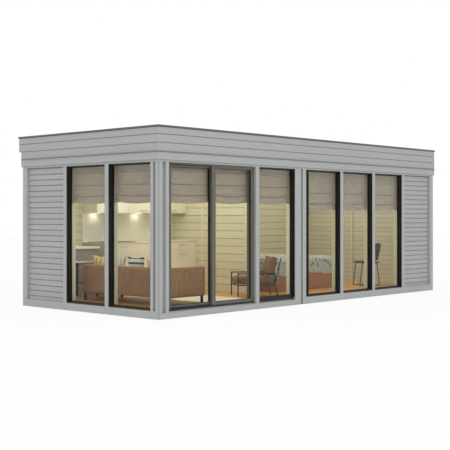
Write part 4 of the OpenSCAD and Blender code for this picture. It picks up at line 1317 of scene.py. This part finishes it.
def dressNodes(table):
    for finish, (width, names) in table.items():
        for name in names:
            obj = nodes[name]
            obj.data.materials.clear()
            obj.data.materials.append(finishes[finish])
            weld = obj.modifiers.new("weld", "WELD")
            weld.merge_threshold = 0.00002
            ease = obj.modifiers.new("ease", "BEVEL")
            ease.width = width
            ease.segments = 2
            ease.limit_method = "ANGLE"
            ease.angle_limit = math.radians(35)
            even = obj.modifiers.new("even", "WEIGHTED_NORMAL")
            even.keep_sharp = False


dressNodes(kept)
print("kept nodes dressed")

studio = {
    "sky": 0.85,
    "keyPower": 260.0,
    "keySize": 8.0,
    "keyPlace": (-9.0, -12.0, 9.0),
    "keyTarget": (0.0, 0.0, 1.2),
    "roomLamps": (  # name, place along the pod, length, power
        ("livingLamp", -1.9, 2.2, 36.0),
        ("bedroomLamp", 1.5, 3.0, 32.0),
    ),
    "roomLampDeep": 1.6,
    "roomColor": (1.0, 0.97, 0.89),
    "counterPower": 0.2,  # each lamp under the wall cupboards
    "counterSize": (0.10, 0.05),
    "counterTilt": 0.25,  # height below the cupboards that these lamps look at, on the wall
    "floorReach": 40,
    "floorColor": 0.97,
    "floorWhite": 0.88,  # share of plain white that the camera sees in the floor
}


def setStudio(look):
    world = bpy.data.worlds.new("studio")
    scene.world = world
    world.use_nodes = True
    tree = world.node_tree
    tree.nodes.clear()
    path = put(tree, "ShaderNodeLightPath")
    seen = calc(tree, "MAXIMUM", path.outputs["Is Camera Ray"],
                calc(tree, "MAXIMUM", path.outputs["Is Glossy Ray"], path.outputs["Is Transmission Ray"]))
    soft = put(tree, "ShaderNodeBackground", {"Color": (1, 1, 1, 1), "Strength": look["sky"]})
    plain = put(tree, "ShaderNodeBackground", {"Color": (1, 1, 1, 1), "Strength": 1.0})
    mixed = put(tree, "ShaderNodeMixShader", {0: seen, 1: soft.outputs[0], 2: plain.outputs[0]})
    put(tree, "ShaderNodeOutputWorld", {"Surface": mixed.outputs[0]})

    def lamp(name, place, target, size, power, color):
        data = bpy.data.lights.new(name, "AREA")
        data.shape = "RECTANGLE"
        data.size, data.size_y = size
        data.energy = power
        data.color = color
        obj = bpy.data.objects.new(name, data)
        obj.location = place
        obj.rotation_euler = (Vector(target) - Vector(place)).to_track_quat("-Z", "Y").to_euler()
        obj.visible_camera = obj.visible_glossy = obj.visible_transmission = False
        scene.collection.objects.link(obj)

    lamp("keyLamp", look["keyPlace"], look["keyTarget"], (look["keySize"], look["keySize"]), look["keyPower"],
         (1, 1, 1))
    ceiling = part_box("ceiling")[0][2] - 0.02
    for name, x, wide, power in look["roomLamps"]:
        lamp(name, (x, 0.0, ceiling), (x, 0.0, 0.0), (wide, look["roomLampDeep"]), power, look["roomColor"])
    low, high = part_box("wall_cupboards")
    for x in kitchen["lamps"]:
        place = (x, low[1] + kitchen["lampBack"], low[2] - 0.012)
        target = (x, high[1], low[2] - look["counterTilt"])
        lamp("counterLamp", place, target, look["counterSize"], look["counterPower"], look["roomColor"])

    mesh = bpy.data.meshes.new("studioFloor")
    reach, z = look["floorReach"], -0.001
    mesh.from_pydata([(-reach, -reach, z), (reach, -reach, z), (reach, reach, z), (-reach, reach, z)], [],
                     [(0, 1, 2, 3)])
    floor = bpy.data.objects.new("studioFloor", mesh)
    scene.collection.objects.link(floor)
    tree, shader = newMaterial("studioFloor")
    shader.inputs["Base Color"].default_value = (*[look["floorColor"]] * 3, 1)
    shader.inputs["Roughness"].default_value = 0.9
    path = put(tree, "ShaderNodeLightPath").outputs
    glow = put(tree, "ShaderNodeEmission", {"Color": (1, 1, 1, 1), "Strength": 1.0})
    seen = calc(tree, "MAXIMUM", path["Is Camera Ray"], path["Is Transmission Ray"])
    share = calc(tree, "MULTIPLY", seen, look["floorWhite"])
    mixed = put(tree, "ShaderNodeMixShader", {0: share, 1: shader.outputs[0], 2: glow.outputs[0]})
    tree.links.new(mixed.outputs[0], tree.nodes["Material Output"].inputs["Surface"])
    mesh.materials.append(finishes["studioFloor"])


setStudio(studio)
print("studio lit")
